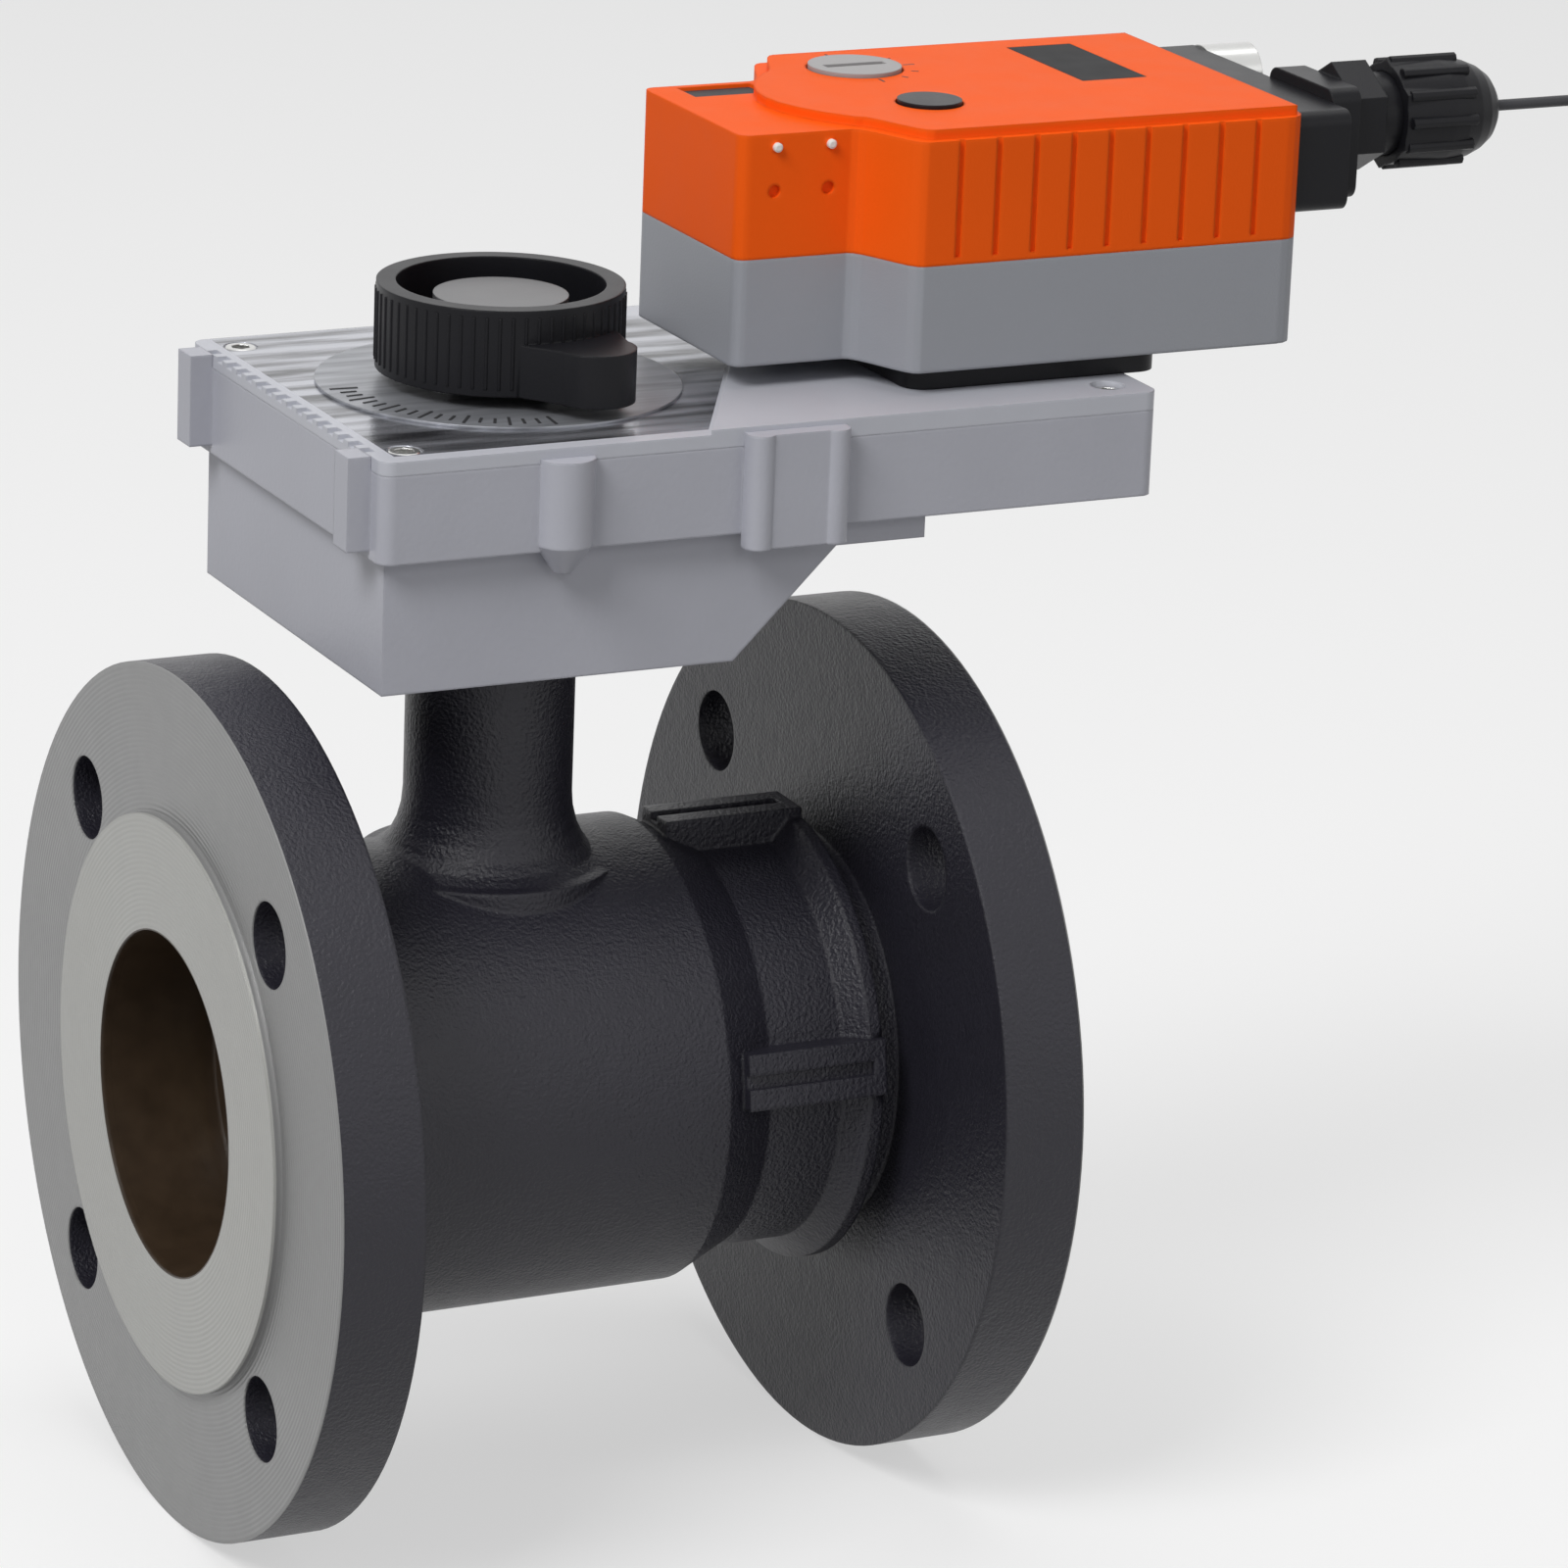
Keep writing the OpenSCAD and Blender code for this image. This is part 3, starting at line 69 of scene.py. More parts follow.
class Nodes:
    """Short calls for filling a node tree, of a material or of Geometry Nodes.

    Attributes:
        tree: The tree to fill.
    """

    tree: bpy.types.NodeTree

    def feed(self, socket: bpy.types.NodeSocket, value: object) -> None:
        """Sets or links one input.

        Args:
            socket: The input.
            value: An output socket to link, or a plain value.
        """
        if isinstance(value, bpy.types.NodeSocket):
            self.tree.links.new(value, socket)
        elif isinstance(value, tuple) and socket.type == "RGBA":
            socket.default_value = (*value, 1.0)
        else:
            socket.default_value = value

    def add(self, kind: str, **inputs: object) -> bpy.types.Node:
        """Adds a node.

        Args:
            kind: The node's type.
            **inputs: Values or sockets by the input's name, with spaces as underscores.

        Returns:
            The new node.
        """
        node = self.tree.nodes.new(kind)
        for name, value in inputs.items():
            self.feed(node.inputs[name.replace("_", " ")], value)
        return node

    def math(self, operation: str, a: object, b: object = 0.0) -> bpy.types.NodeSocket:
        """Adds one sum.

        Args:
            operation: What the node does with its values.
            a: First number or socket.
            b: Second number or socket.

        Returns:
            The result's socket.
        """
        node = self.tree.nodes.new("ShaderNodeMath")
        node.operation = operation
        self.feed(node.inputs[0], a)
        self.feed(node.inputs[1], b)
        return node.outputs[0]

    def times(self, a: object, b: object) -> bpy.types.NodeSocket:
        """Product of two numbers or sockets.

        Args:
            a: First number or socket.
            b: Second number or socket.

        Returns:
            The product's socket.
        """
        return self.math("MULTIPLY", a, b)


class Graph(Nodes):
    """A material's node tree, with short calls for what the finishes use."""

    def __init__(self, material: bpy.types.Material) -> None:
        """Clears the material's tree.

        Args:
            material: The material to fill.
        """
        self.tree = material.node_tree
        self.tree.nodes.clear()

    def noise(self, vector: object, size: float, detail: float = 3.0) -> bpy.types.NodeSocket:
        """Adds a noise.

        Args:
            vector: Where to read it.
            size: Rough size of its lumps in metres.
            detail: Number of finer layers.

        Returns:
            A value from 0 to 1.
        """
        node = self.add("ShaderNodeTexNoise", Vector=vector, Scale=1.0 / size, Detail=detail)
        return node.outputs[0]

    def mix(self, share: object, a: object, b: object) -> bpy.types.NodeSocket:
        """Blends two colours.

        Args:
            share: 0 for a, 1 for b.
            a: First colour or socket.
            b: Second colour or socket.

        Returns:
            The colour's socket.
        """
        node = self.tree.nodes.new("ShaderNodeMix")
        node.data_type = "RGBA"
        inputs = {socket.identifier: socket for socket in node.inputs}
        self.feed(inputs["Factor_Float"], share)
        self.feed(inputs["A_Color"], a)
        self.feed(inputs["B_Color"], b)
        return next(socket for socket in node.outputs if socket.identifier == "Result_Color")

    def between(self, value: object, low: float, high: float) -> bpy.types.NodeSocket:
        """Mask of a band.

        Args:
            value: The socket to judge.
            low: The band's lower bound.
            high: Its upper bound.

        Returns:
            1 inside the band, 0 outside.
        """
        return self.times(
            self.math("GREATER_THAN", value, low), self.math("LESS_THAN", value, high),
        )

    def spread(self, value: object, low: float, high: float) -> bpy.types.NodeSocket:
        """Lays a 0 to 1 value over another range.

        Args:
            value: The socket to spread.
            low: What 0 becomes.
            high: What 1 becomes.

        Returns:
            The new value's socket.
        """
        return self.add("ShaderNodeMapRange", Value=value, To_Min=low, To_Max=high).outputs[0]

    def along_x(self, place: object, stretch: float, **more: object) -> bpy.types.NodeSocket:
        """Object coordinates drawn out along X, for brushed streaks.

        Args:
            place: Object coordinates.
            stretch: Share of X that is left; the less, the longer the streaks.
            **more: Further inputs of the mapping.

        Returns:
            The coordinates' socket.
        """
        node = self.add("ShaderNodeMapping", Vector=place, Scale=(stretch, 1.0, 1.0), **more)
        return node.outputs[0]


@dataclass(frozen=True)
class Finish:
    """One surface finish.

    Attributes:
        name: What a maker calls it.
        colour: Base colour.
        roughness: Mean roughness.
        metallic: 1 for bare metal.
        grain: How the surface feels.
        depth: Height of the grain in metres.
        mottle: Share by which the colour wanders.
        edge: Radius to which hard edges look worn, in metres.
        coat: Weight of a clear coat.
        gleam: Strength of the surface's own reflection, 0.5 on a common plastic.
    """

    name: str
    colour: Colour
    roughness: float = 0.45
    metallic: float = 0.0
    grain: Grain = Grain.SMOOTH
    depth: float = 0.00002
    mottle: float = 0.06
    edge: float = 0.0004
    coat: float = 0.0
    gleam: float = 0.5

    def height(self, graph: Graph, place: bpy.types.NodeSocket) -> bpy.types.NodeSocket | None:
        """Height field of the grain.

        Args:
            graph: The tree to add to.
            place: Object coordinates.

        Returns:
            A 0 to 1 height, or None on a smooth surface.
        """
        if self.grain is Grain.SMOOTH:
            return None
        if self.grain is Grain.CAST:
            coarse = graph.noise(place, 0.0032, 5.0)
            return graph.math("ADD", graph.times(coarse, 0.5), graph.noise(place, 0.0008, 5.0))
        if self.grain is Grain.PAINTED:
            return graph.noise(place, 0.0012, 3.0)
        if self.grain is Grain.MOULDED:
            return graph.noise(place, 0.0005, 2.0)
        return graph.noise(graph.along_x(place, 0.06), 0.0006, 4.0)

    def tint(self, graph: Graph, place: bpy.types.NodeSocket) -> bpy.types.NodeSocket:
        """Base colour with its slow wander.

        Args:
            graph: The tree to add to.
            place: Object coordinates.

        Returns:
            The colour socket.
        """
        dark = tuple(c * (1.0 - self.mottle) for c in self.colour)
        light = tuple(min(1.0, c * (1.0 + self.mottle)) for c in self.colour)
        return graph.mix(graph.noise(place, 0.018, 4.0), dark, light)

    def shade(self, graph: Graph, shader: bpy.types.Node, place: bpy.types.NodeSocket) -> None:
        """Sets the shader's colour and roughness; finishes with zones replace it.

        Args:
            graph: The tree to add to.
            shader: The Principled shader.
            place: Object coordinates.
        """
        graph.feed(shader.inputs["Base Color"], self.tint(graph, place))
        wander = graph.spread(
            graph.noise(place, 0.009, 3.0), self.roughness * 0.88, self.roughness * 1.12,
        )
        graph.feed(shader.inputs["Roughness"], wander)
        shader.inputs["Metallic"].default_value = self.metallic

    def material(self) -> bpy.types.Material:
        """The finish as a material, made once.

        Returns:
            The material.
        """
        if self.name in bpy.data.materials:
            return bpy.data.materials[self.name]
        made = bpy.data.materials.new(self.name)
        made.use_nodes = True
        graph = Graph(made)
        place = graph.tree.nodes.new("ShaderNodeTexCoord").outputs["Object"]
        shader = graph.add(
            "ShaderNodeBsdfPrincipled", Coat_Weight=self.coat, Specular_IOR_Level=self.gleam,
        )
        self.shade(graph, shader, place)
        rounded = graph.add("ShaderNodeBevel", Radius=self.edge)
        rounded.samples = 4
        normal = rounded.outputs[0]
        height = self.height(graph, place)
        if height is not None:
            bump = graph.add(
                "ShaderNodeBump", Strength=1.0, Distance=self.depth, Height=height, Normal=normal,
            )
            normal = bump.outputs[0]
        graph.feed(shader.inputs["Normal"], normal)
        graph.add("ShaderNodeOutputMaterial", Surface=shader.outputs[0])
        return made


@dataclass(frozen=True)
class CastIron(Finish):
    """Painted casting whose sealing faces are turned bare and whose bore is oxidised.

    Attributes:
        turned: Colour of the raised sealing faces.
        skimmed: Colour of the flange faces round them.
        oxide: Colour of the bore.
        length: Distance between the sealing faces in metres.
        bore: Radius of the bore in metres.
        groove: Pitch of the turned grooves in metres.
        seam: Half width of the mould's parting line in metres.
        relief: How far the skimmed zone reaches inwards, in metres.
        face: How far the turned zone of the sealing face reaches, in metres.
    """

    turned: Colour = (0.44, 0.44, 0.42)
    skimmed: Colour = (0.27, 0.27, 0.27)
    oxide: Colour = (0.055, 0.034, 0.019)
    length: float = 0.170
    bore: float = 0.0368
    groove: float = 0.0011
    seam: float = 0.0006
    relief: float = 0.0023
    face: float = 0.0006

    def radius(
        self, graph: Graph, place: bpy.types.NodeSocket,
    ) -> tuple[bpy.types.NodeSocket, bpy.types.NodeSocket]:
        """Distance from the flow axis, and place along it.

        Args:
            graph: The tree to add to.
            place: Object coordinates.

        Returns:
            The radius and the distance inwards from the nearer sealing face.
        """
        parts = graph.add("ShaderNodeSeparateXYZ", Vector=place)
        squares = [graph.times(parts.outputs[i], parts.outputs[i]) for i in (1, 2)]
        inwards = graph.math(
            "MINIMUM", parts.outputs[0], graph.math("SUBTRACT", self.length, parts.outputs[0]),
        )
        return graph.math("SQRT", graph.math("ADD", *squares)), inwards

    def height(self, graph: Graph, place: bpy.types.NodeSocket) -> bpy.types.NodeSocket | None:
        """Cast skin, with fine turned grooves on the sealing faces.

        Args:
            graph: The tree to add to.
            place: Object coordinates.

        Returns:
            A 0 to 1 height.
        """
        radius, inwards = self.radius(graph, place)
        skin = super().height(graph, place)
        wave = graph.math("SINE", graph.times(radius, 2 * math.pi / self.groove))
        skimmed = graph.math("LESS_THAN", inwards, self.relief)
        inside = graph.math("LESS_THAN", radius, self.bore)
        machined = graph.math("MAXIMUM", skimmed, inside)
        across = graph.add("ShaderNodeSeparateXYZ", Vector=place).outputs[1]
        parting = graph.times(graph.between(across, -self.seam, self.seam), 1.4)
        skin = graph.math("ADD", skin, parting)
        rough = graph.times(skin, graph.math("SUBTRACT", 1.0, machined))
        return graph.math("ADD", rough, graph.times(graph.times(wave, 0.12), skimmed))

    def shade(self, graph: Graph, shader: bpy.types.Node, place: bpy.types.NodeSocket) -> None:
        """Paint, skimmed and turned faces, and the bore's oxide.

        Args:
            graph: The tree to add to.
            shader: The Principled shader.
            place: Object coordinates.
        """
        radius, inwards = self.radius(graph, place)
        skimmed = graph.math("LESS_THAN", inwards, self.relief)
        turned = graph.math("LESS_THAN", inwards, self.face)
        inside = graph.math("LESS_THAN", radius, self.bore)
        blotch = graph.noise(place, 0.006, 5.0)
        colour = graph.mix(skimmed, self.tint(graph, place), self.skimmed)
        colour = graph.mix(
            turned, colour, graph.mix(blotch, tuple(c * 0.85 for c in self.turned), self.turned),
        )
        stain = graph.mix(blotch, tuple(c * 0.4 for c in self.oxide), self.oxide)
        colour = graph.mix(inside, colour, stain)
        graph.feed(shader.inputs["Base Color"], colour)
        bare = graph.times(skimmed, graph.math("SUBTRACT", 1.0, inside))
        graph.feed(shader.inputs["Metallic"], graph.times(bare, 0.35))
        graph.feed(
            shader.inputs["Roughness"],
            graph.spread(blotch, self.roughness * 0.85, self.roughness * 1.2),
        )


@dataclass(frozen=True)
class ScaleSheet(Finish):
    """Bright sheet with brushed streaks.

    Attributes:
        streak_and_shade: Colour of the dark streaks.
    """

    # Dark streak colour, which on the cover's shaded zone is painted shade.
    streak_and_shade: Colour = (0.07, 0.072, 0.08)

    def shade(self, graph: Graph, shader: bpy.types.Node, place: bpy.types.NodeSocket) -> None:
        """Long streaks over the sheet's own colour.

        Args:
            graph: The tree to add to.
            shader: The Principled shader.
            place: Object coordinates.
        """
        lines = graph.noise(graph.along_x(place, 0.12), 0.0035, 6.0)
        share = graph.spread(lines, -0.65, 1.1)
        graph.feed(shader.inputs["Base Color"], graph.mix(share, self.colour, self.streak_and_shade))
        graph.feed(shader.inputs["Roughness"], graph.spread(lines, 0.25, 0.5))
        shader.inputs["Metallic"].default_value = self.metallic


@dataclass(frozen=True)
class CoverWithPaintedShade(ScaleSheet):
    """Painted cover whose low part, beside the actuator's slanted shadow edge, carries painted
    shade.

    Attributes:
        top: Height of the low part in metres.
        edge_x: Where the shaded zone begins along the flow axis.
        edge_y: Where it begins across.
        border_x: Where the slanted shadow edge meets the cover's front.
        slant: The shadow edge's run along the flow axis for each metre across.
        front_y: Place of the cover's front.
        skin: Half height of the band in which the low part's top is found.
    """

    top: float = 0.1495
    edge_x: float = 0.0285
    edge_y: float = -0.0475
    border_x: float = 0.0952
    slant: float = 0.561
    front_y: float = -0.0517
    skin: float = 0.0003

    def zone(self, graph: Graph, place: bpy.types.NodeSocket) -> bpy.types.NodeSocket:
        """1 where the actuator's shadow falls on the low part, for painted shade; 0 elsewhere.

        Args:
            graph: The tree to add to.
            place: Object coordinates.

        Returns:
            The mask.
        """
        parts = graph.add("ShaderNodeSeparateXYZ", Vector=place)
        level = graph.between(parts.outputs[2], self.top - self.skin, self.top + self.skin)
        run = graph.times(graph.math("SUBTRACT", parts.outputs[1], self.front_y), self.slant)
        before = graph.math("LESS_THAN", parts.outputs[0], graph.math("ADD", run, self.border_x))
        inside = graph.times(graph.math("GREATER_THAN", parts.outputs[0], self.edge_x),
                            graph.math("GREATER_THAN", parts.outputs[1], self.edge_y))
        return graph.times(graph.times(level, before), inside)

    def shade(self, graph: Graph, shader: bpy.types.Node, place: bpy.types.NodeSocket) -> None:
        """Paint all over; on the shaded zone, painted shadow and painted reflection as dark
        streaks.

        Args:
            graph: The tree to add to.
            shader: The Principled shader.
            place: Object coordinates.
        """
        # Zone where the actuator's shadow falls; its colour there is painted shade, on a metallic,
        # smoother surface.
        shade_zone = self.zone(graph, place)
        lines = graph.noise(graph.along_x(place, 0.10, Rotation=(0.0, 0.0, 0.35)), 0.0045, 5.0)
        # Dark streaks: painted shadow and painted reflection of the indicator.
        streaks = graph.mix(graph.spread(lines, -1.6, 2.4), self.colour, self.streak_and_shade)
        graph.feed(shader.inputs["Base Color"], graph.mix(shade_zone, self.tint(graph, place), streaks))
        graph.feed(shader.inputs["Metallic"], graph.times(shade_zone, 0.75))
        drop = graph.times(shade_zone, self.roughness - 0.20)
        graph.feed(shader.inputs["Roughness"], graph.math("SUBTRACT", self.roughness, drop))


IRON = CastIron(
    "painted cast iron", (0.018, 0.017, 0.025), 0.36, grain=Grain.CAST, depth=0.00032, mottle=0.15,
    edge=0.0012, gleam=0.40,
)
PAINT = Finish(
    "light grey casting paint", (0.425, 0.43, 0.48), 0.40, grain=Grain.PAINTED, depth=0.00006,
    edge=0.0007,
)
# The cover's low part beside the actuator carries painted shade.
COVER = CoverWithPaintedShade(
    "light grey cover with painted shade", (0.50, 0.51, 0.56), 0.36, grain=Grain.PAINTED,
    depth=0.00003, edge=0.0006,
)
SHEET = ScaleSheet("bright scale sheet", (0.36, 0.37, 0.40), 0.35, 0.5, Grain.BRUSHED, 0.000015)
ORANGE = Finish(
    "orange moulded case", (0.93, 0.112, 0.005), 0.52, grain=Grain.MOULDED, depth=0.00004,
    mottle=0.03, edge=0.0010, gleam=0.10,
)
GREY = Finish(
    "mid grey moulded case", (0.31, 0.32, 0.35), 0.44, grain=Grain.MOULDED, depth=0.00004,
    mottle=0.03, edge=0.0010, gleam=0.4,
)
BLACK = Finish(
    "black moulded plastic", (0.008, 0.008, 0.010), 0.36, grain=Grain.MOULDED, depth=0.00003,
    edge=0.0006, gleam=0.18,
)
KNOB_TOP = Finish(
    "grey knob disc", (0.12, 0.12, 0.125), 0.34, grain=Grain.BRUSHED, depth=0.00001, edge=0.0004,
)
DIAL = Finish(
    "pale moulded dial", (0.34, 0.33, 0.33), 0.40, grain=Grain.MOULDED, edge=0.0005, gleam=0.3,
)
GLASS = Finish("smoked window", (0.005, 0.005, 0.006), 0.45, mottle=0.0, edge=0.0003, gleam=0.06)
ZINC = Finish(
    "zinc plated steel", (0.62, 0.62, 0.61), 0.26, 1.0, Grain.BRUSHED, 0.00001, edge=0.0003,
)
STEEL = Finish("machined steel", (0.42, 0.42, 0.42), 0.33, 1.0, Grain.BRUSHED, 0.00001, edge=0.0003)
BRASS = Finish("machined brass", (0.62, 0.43, 0.17), 0.28, 1.0, Grain.BRUSHED, 0.00001, edge=0.0003)
BRONZE = Finish("bearing bronze", (0.45, 0.28, 0.12), 0.38, 1.0, edge=0.0002)
SEAT = Finish("white sealing plastic", (0.78, 0.76, 0.70), 0.40)
RUBBER = Finish("black rubber", (0.018, 0.018, 0.018), 0.60, gleam=0.3)
BOARD = Finish("coated circuit board", (0.02, 0.12, 0.04), 0.35, coat=0.4)
SHEATH = Finish(
    "dark grey sheath", (0.045, 0.045, 0.050), 0.48, mottle=0.03, edge=0.0001, gleam=0.3,
)
COPPER = Finish("bare stranded copper", (0.72, 0.34, 0.16), 0.30, 1.0, edge=0.0001)
WHITE_INK = Finish("white plastic", (0.78, 0.76, 0.72), 0.40, mottle=0.0, edge=0.0001)
DARK_INK = Finish("dark print", (0.03, 0.03, 0.032), 0.55, mottle=0.0, edge=0.0001, gleam=0.2)


@dataclass
class Pattern(Nodes):
    """A Geometry Nodes tree for what repeats, with named inputs and fixed order.

    Attributes:
        name: The tree's name.
        tree: The tree.
        source: Its input node.
        names: Identifiers of the inputs by their names.
    """

    name: str
    tree: bpy.types.GeometryNodeTree = field(init=False)
    source: bpy.types.Node = field(init=False)
    names: dict[str, str] = field(init=False, default_factory=dict)

    def __post_init__(self) -> None:
        """Makes the tree with its material input and its output."""
        self.tree = bpy.data.node_groups.new(self.name, "GeometryNodeTree")
        for side in ("INPUT", "OUTPUT"):
            self.tree.interface.new_socket(
                "Geometry", in_out=side, socket_type="NodeSocketGeometry",
            )
        self.source = self.tree.nodes.new("NodeGroupInput")
        self.socket("Finish", "NodeSocketMaterial")

    def socket(self, name: str, kind: str) -> bpy.types.NodeSocket:
        """Adds a named input.

        Args:
            name: The input's name.
            kind: The socket's type.

        Returns:
            The socket inside the tree.
        """
        made = self.tree.interface.new_socket(name, in_out="INPUT", socket_type=kind)
        self.names[name] = made.identifier
        return self.source.outputs[name]

    def close(self, instances: bpy.types.NodeSocket) -> None:
        """Ends the tree with Realize Instances and Set Material.

        Args:
            instances: The geometry to finish.
        """
        real = self.add("GeometryNodeRealizeInstances", Geometry=instances)
        dressed = self.add(
            "GeometryNodeSetMaterial", Geometry=real.outputs[0],
            Material=self.source.outputs["Finish"],
        )
        output = self.tree.nodes.new("NodeGroupOutput")
        self.tree.links.new(dressed.outputs[0], output.inputs[0])

    def make(
        self, name: str, finish: Finish, points: Sequence[Point] = (), **values: object,
    ) -> bpy.types.Object:
        """Runs the tree and keeps its result as a plain mesh.

        Args:
            name: The new object's name.
            finish: Its finish.
            points: Places the tree reads from its own mesh, in metres.
            **values: Inputs by name, with spaces as underscores.

        Returns:
            The finished object at the origin.
        """
        start = bpy.data.meshes.new(name)
        start.from_pydata([tuple(p) for p in points], [], [])
        piece = link(name, start)
        modifier = piece.modifiers.new(self.name, "NODES")
        modifier.node_group = self.tree
        modifier[self.names["Finish"]] = finish.material()
        for key, value in values.items():
            modifier[self.names[key.replace("_", " ")]] = value
        piece.update_tag()
        graph = bpy.context.evaluated_depsgraph_get()
        mesh = bpy.data.meshes.new_from_object(piece.evaluated_get(graph), depsgraph=graph)
        piece.modifiers.remove(modifier)
        piece.data = mesh
        if not mesh.materials:
            mesh.materials.append(finish.material())
        return piece


def link(name: str, data: bpy.types.ID) -> bpy.types.Object:
    """Makes an object at the origin and links it to the scene.

    Args:
        name: The object's name.
        data: Its mesh, curve, lamp or camera.

    Returns:
        The new object.
    """
    made = bpy.data.objects.new(name, data)
    bpy.context.scene.collection.objects.link(made)
    return made


def rib_ring() -> Pattern:
    """Round bars set out evenly on a circle, such as grip ribs and knurls.

    Returns:
        The pattern, with inputs Count, Ring, Bar, Length, Turn and Centre.
    """
    made = Pattern("ring of bars")
    count = made.socket("Count", "NodeSocketInt")
    ring = made.socket("Ring", "NodeSocketFloat")
    bar = made.socket("Bar", "NodeSocketFloat")
    length = made.socket("Length", "NodeSocketFloat")
    turn = made.socket("Turn", "NodeSocketVector")
    centre = made.socket("Centre", "NodeSocketVector")
    circle = made.add("GeometryNodeMeshCircle", Vertices=count, Radius=ring)
    rod = made.add("GeometryNodeMeshCylinder", Vertices=8, Radius=bar, Depth=length)
    placed = made.add(
        "GeometryNodeInstanceOnPoints", Points=circle.outputs[0], Instance=rod.outputs["Mesh"],
    )
    moved = made.add(
        "GeometryNodeTransform", Geometry=placed.outputs[0], Translation=centre, Rotation=turn,
    )
    made.close(moved.outputs[0])
    return made


def tick_arc() -> Pattern:
    """Flat marks along an arc, every third one longer, as on an angle scale.

    Returns:
        The pattern, with inputs Count, Ring, First, Step, Long, Wide, Thick and Centre.
    """
    made = Pattern("arc of ticks")
    count = made.socket("Count", "NodeSocketInt")
    ring = made.socket("Ring", "NodeSocketFloat")
    first = made.socket("First", "NodeSocketFloat")
    step = made.socket("Step", "NodeSocketFloat")
    size = [made.socket(n, "NodeSocketFloat") for n in ("Long", "Wide", "Thick")]
    centre = made.socket("Centre", "NodeSocketVector")
    line = made.add("GeometryNodeMeshLine", Count=count, Offset=(0.0, 0.0, 0.0))
    index = made.tree.nodes.new("GeometryNodeInputIndex").outputs[0]
    angle = made.math("ADD", first, made.times(index, step))
    spot = made.add("ShaderNodeCombineXYZ", X=made.times(ring, made.math("COSINE", angle)),
                    Y=made.times(ring, made.math("SINE", angle)))
    placed = made.add("GeometryNodeSetPosition", Geometry=line.outputs[0], Position=spot.outputs[0])
    box = made.add("ShaderNodeCombineXYZ", X=size[0], Y=size[1], Z=size[2])
    mark = made.add("GeometryNodeMeshCube", Size=box.outputs[0])
    third = made.math("LESS_THAN", made.math("MODULO", index, 3.0), 0.5)
    longer = made.math("ADD", 1.0, made.times(third, 0.7))
    stretch = made.add("ShaderNodeCombineXYZ", X=longer, Y=1.0, Z=1.0)
    turned = made.add("ShaderNodeCombineXYZ", Z=angle)
    marks = made.add(
        "GeometryNodeInstanceOnPoints", Points=placed.outputs[0], Instance=mark.outputs[0],
        Rotation=turned.outputs[0], Scale=stretch.outputs[0],
    )
    moved = made.add("GeometryNodeTransform", Geometry=marks.outputs[0], Translation=centre)
    made.close(moved.outputs[0])
    return made


def set_out() -> Pattern:
    """One template set on each of the object's own points, as screws in their holes.

    Returns:
        The pattern, with inputs Template and Turn.
    """
    made = Pattern("set out")
    template = made.socket("Template", "NodeSocketObject")
    turn = made.socket("Turn", "NodeSocketVector")
    shape = made.add("GeometryNodeObjectInfo", Object=template)
    placed = made.add("GeometryNodeInstanceOnPoints", Points=made.source.outputs["Geometry"],
                      Instance=shape.outputs["Geometry"], Rotation=turn)
    made.close(placed.outputs[0])
    return made


def loft(name: str, rings: Sequence[Sequence[Point]], finish: Finish) -> bpy.types.Object:
    """Closed skin through rings of equally many points, capped at both ends.

    Args:
        name: The object's name.
        rings: Rings of points in metres, in order.
        finish: Its finish.

    Returns:
        The finished object.
    """
    size = len(rings[0])
    verts = [p for ring in rings for p in ring]
    faces = []
    for i in range(len(rings) - 1):
        low, high = i * size, (i + 1) * size
        for j in range(size):
            k = (j + 1) % size
            faces.append((low + j, low + k, high + k, high + j))
    faces.append(tuple(range(size))[::-1])
    faces.append(tuple((len(rings) - 1) * size + j for j in range(size)))
    mesh = bpy.data.meshes.new(name)
    mesh.from_pydata(verts, [], faces)
    work = bmesh.new()
    work.from_mesh(mesh)
    bmesh.ops.recalc_face_normals(work, faces=work.faces)
    work.to_mesh(mesh)
    work.free()
    mesh.shade_smooth()
    mesh.set_sharp_from_angle(angle=math.radians(35))
    mesh.materials.append(finish.material())
    return link(name, mesh)


def bearings(sides: int) -> list[float]:
    """Angles of evenly spaced points on a circle.

    Args:
        sides: Number of points.

    Returns:
        Angles in radians.
    """
    return [2 * math.pi * j / sides for j in range(sides)]


def spun(
    name: str, outline: Sequence[tuple[float, float]], centre: Point, finish: Finish,
    sides: int = 48, along: Matrix | None = None,
) -> bpy.types.Object:
    """Turned piece from an outline of (height, radius) pairs.

    Args:
        name: The object's name.
        outline: Pairs in metres from one end to the other.
        centre: Where the outline's zero height stands.
        finish: Its finish.
        sides: Facets round it.
        along: Turn from +Z to the piece's own axis.

    Returns:
        The finished object.
    """
    turn = along or Matrix.Identity(3)
    rings = []
    for z, r in outline:
        ring = [Vector((r * math.cos(a), r * math.sin(a), z)) for a in bearings(sides)]
        rings.append([tuple(turn @ point + Vector(centre)) for point in ring])
    return loft(name, rings, finish)


def socket_screw(
    name: str, head: float, height: float, length: float, finish: Finish,
) -> bpy.types.Object:
    """Screw with a hexagon socket, its head's top at height zero.

    Args:
        name: The object's name.
        head: Radius of the head.
        height: Height of the head.
        length: Length below the head.
        finish: Its finish.

    Returns:
        The screw, to be set out and then taken away.
    """
    key, shank, rim = head * 0.52, head * 0.55, head * 0.88
    chamfer, depth = head * 0.12, height * 0.6
    angles = bearings(24)
    profile = (
        (shank, -height - length), (shank, -height), (head, -height), (head, -chamfer), (rim, 0.0),
    )
    rings = [[(r * math.cos(a), r * math.sin(a), z) for a in angles] for r, z in profile]
    flats = [key / math.cos(a % (math.pi / 3) - math.pi / 6) for a in angles]
    for z in (0.0, -depth):
        rings.append([(f * math.cos(a), f * math.sin(a), z) for f, a in zip(flats, angles)])
    return loft(name, rings, finish)


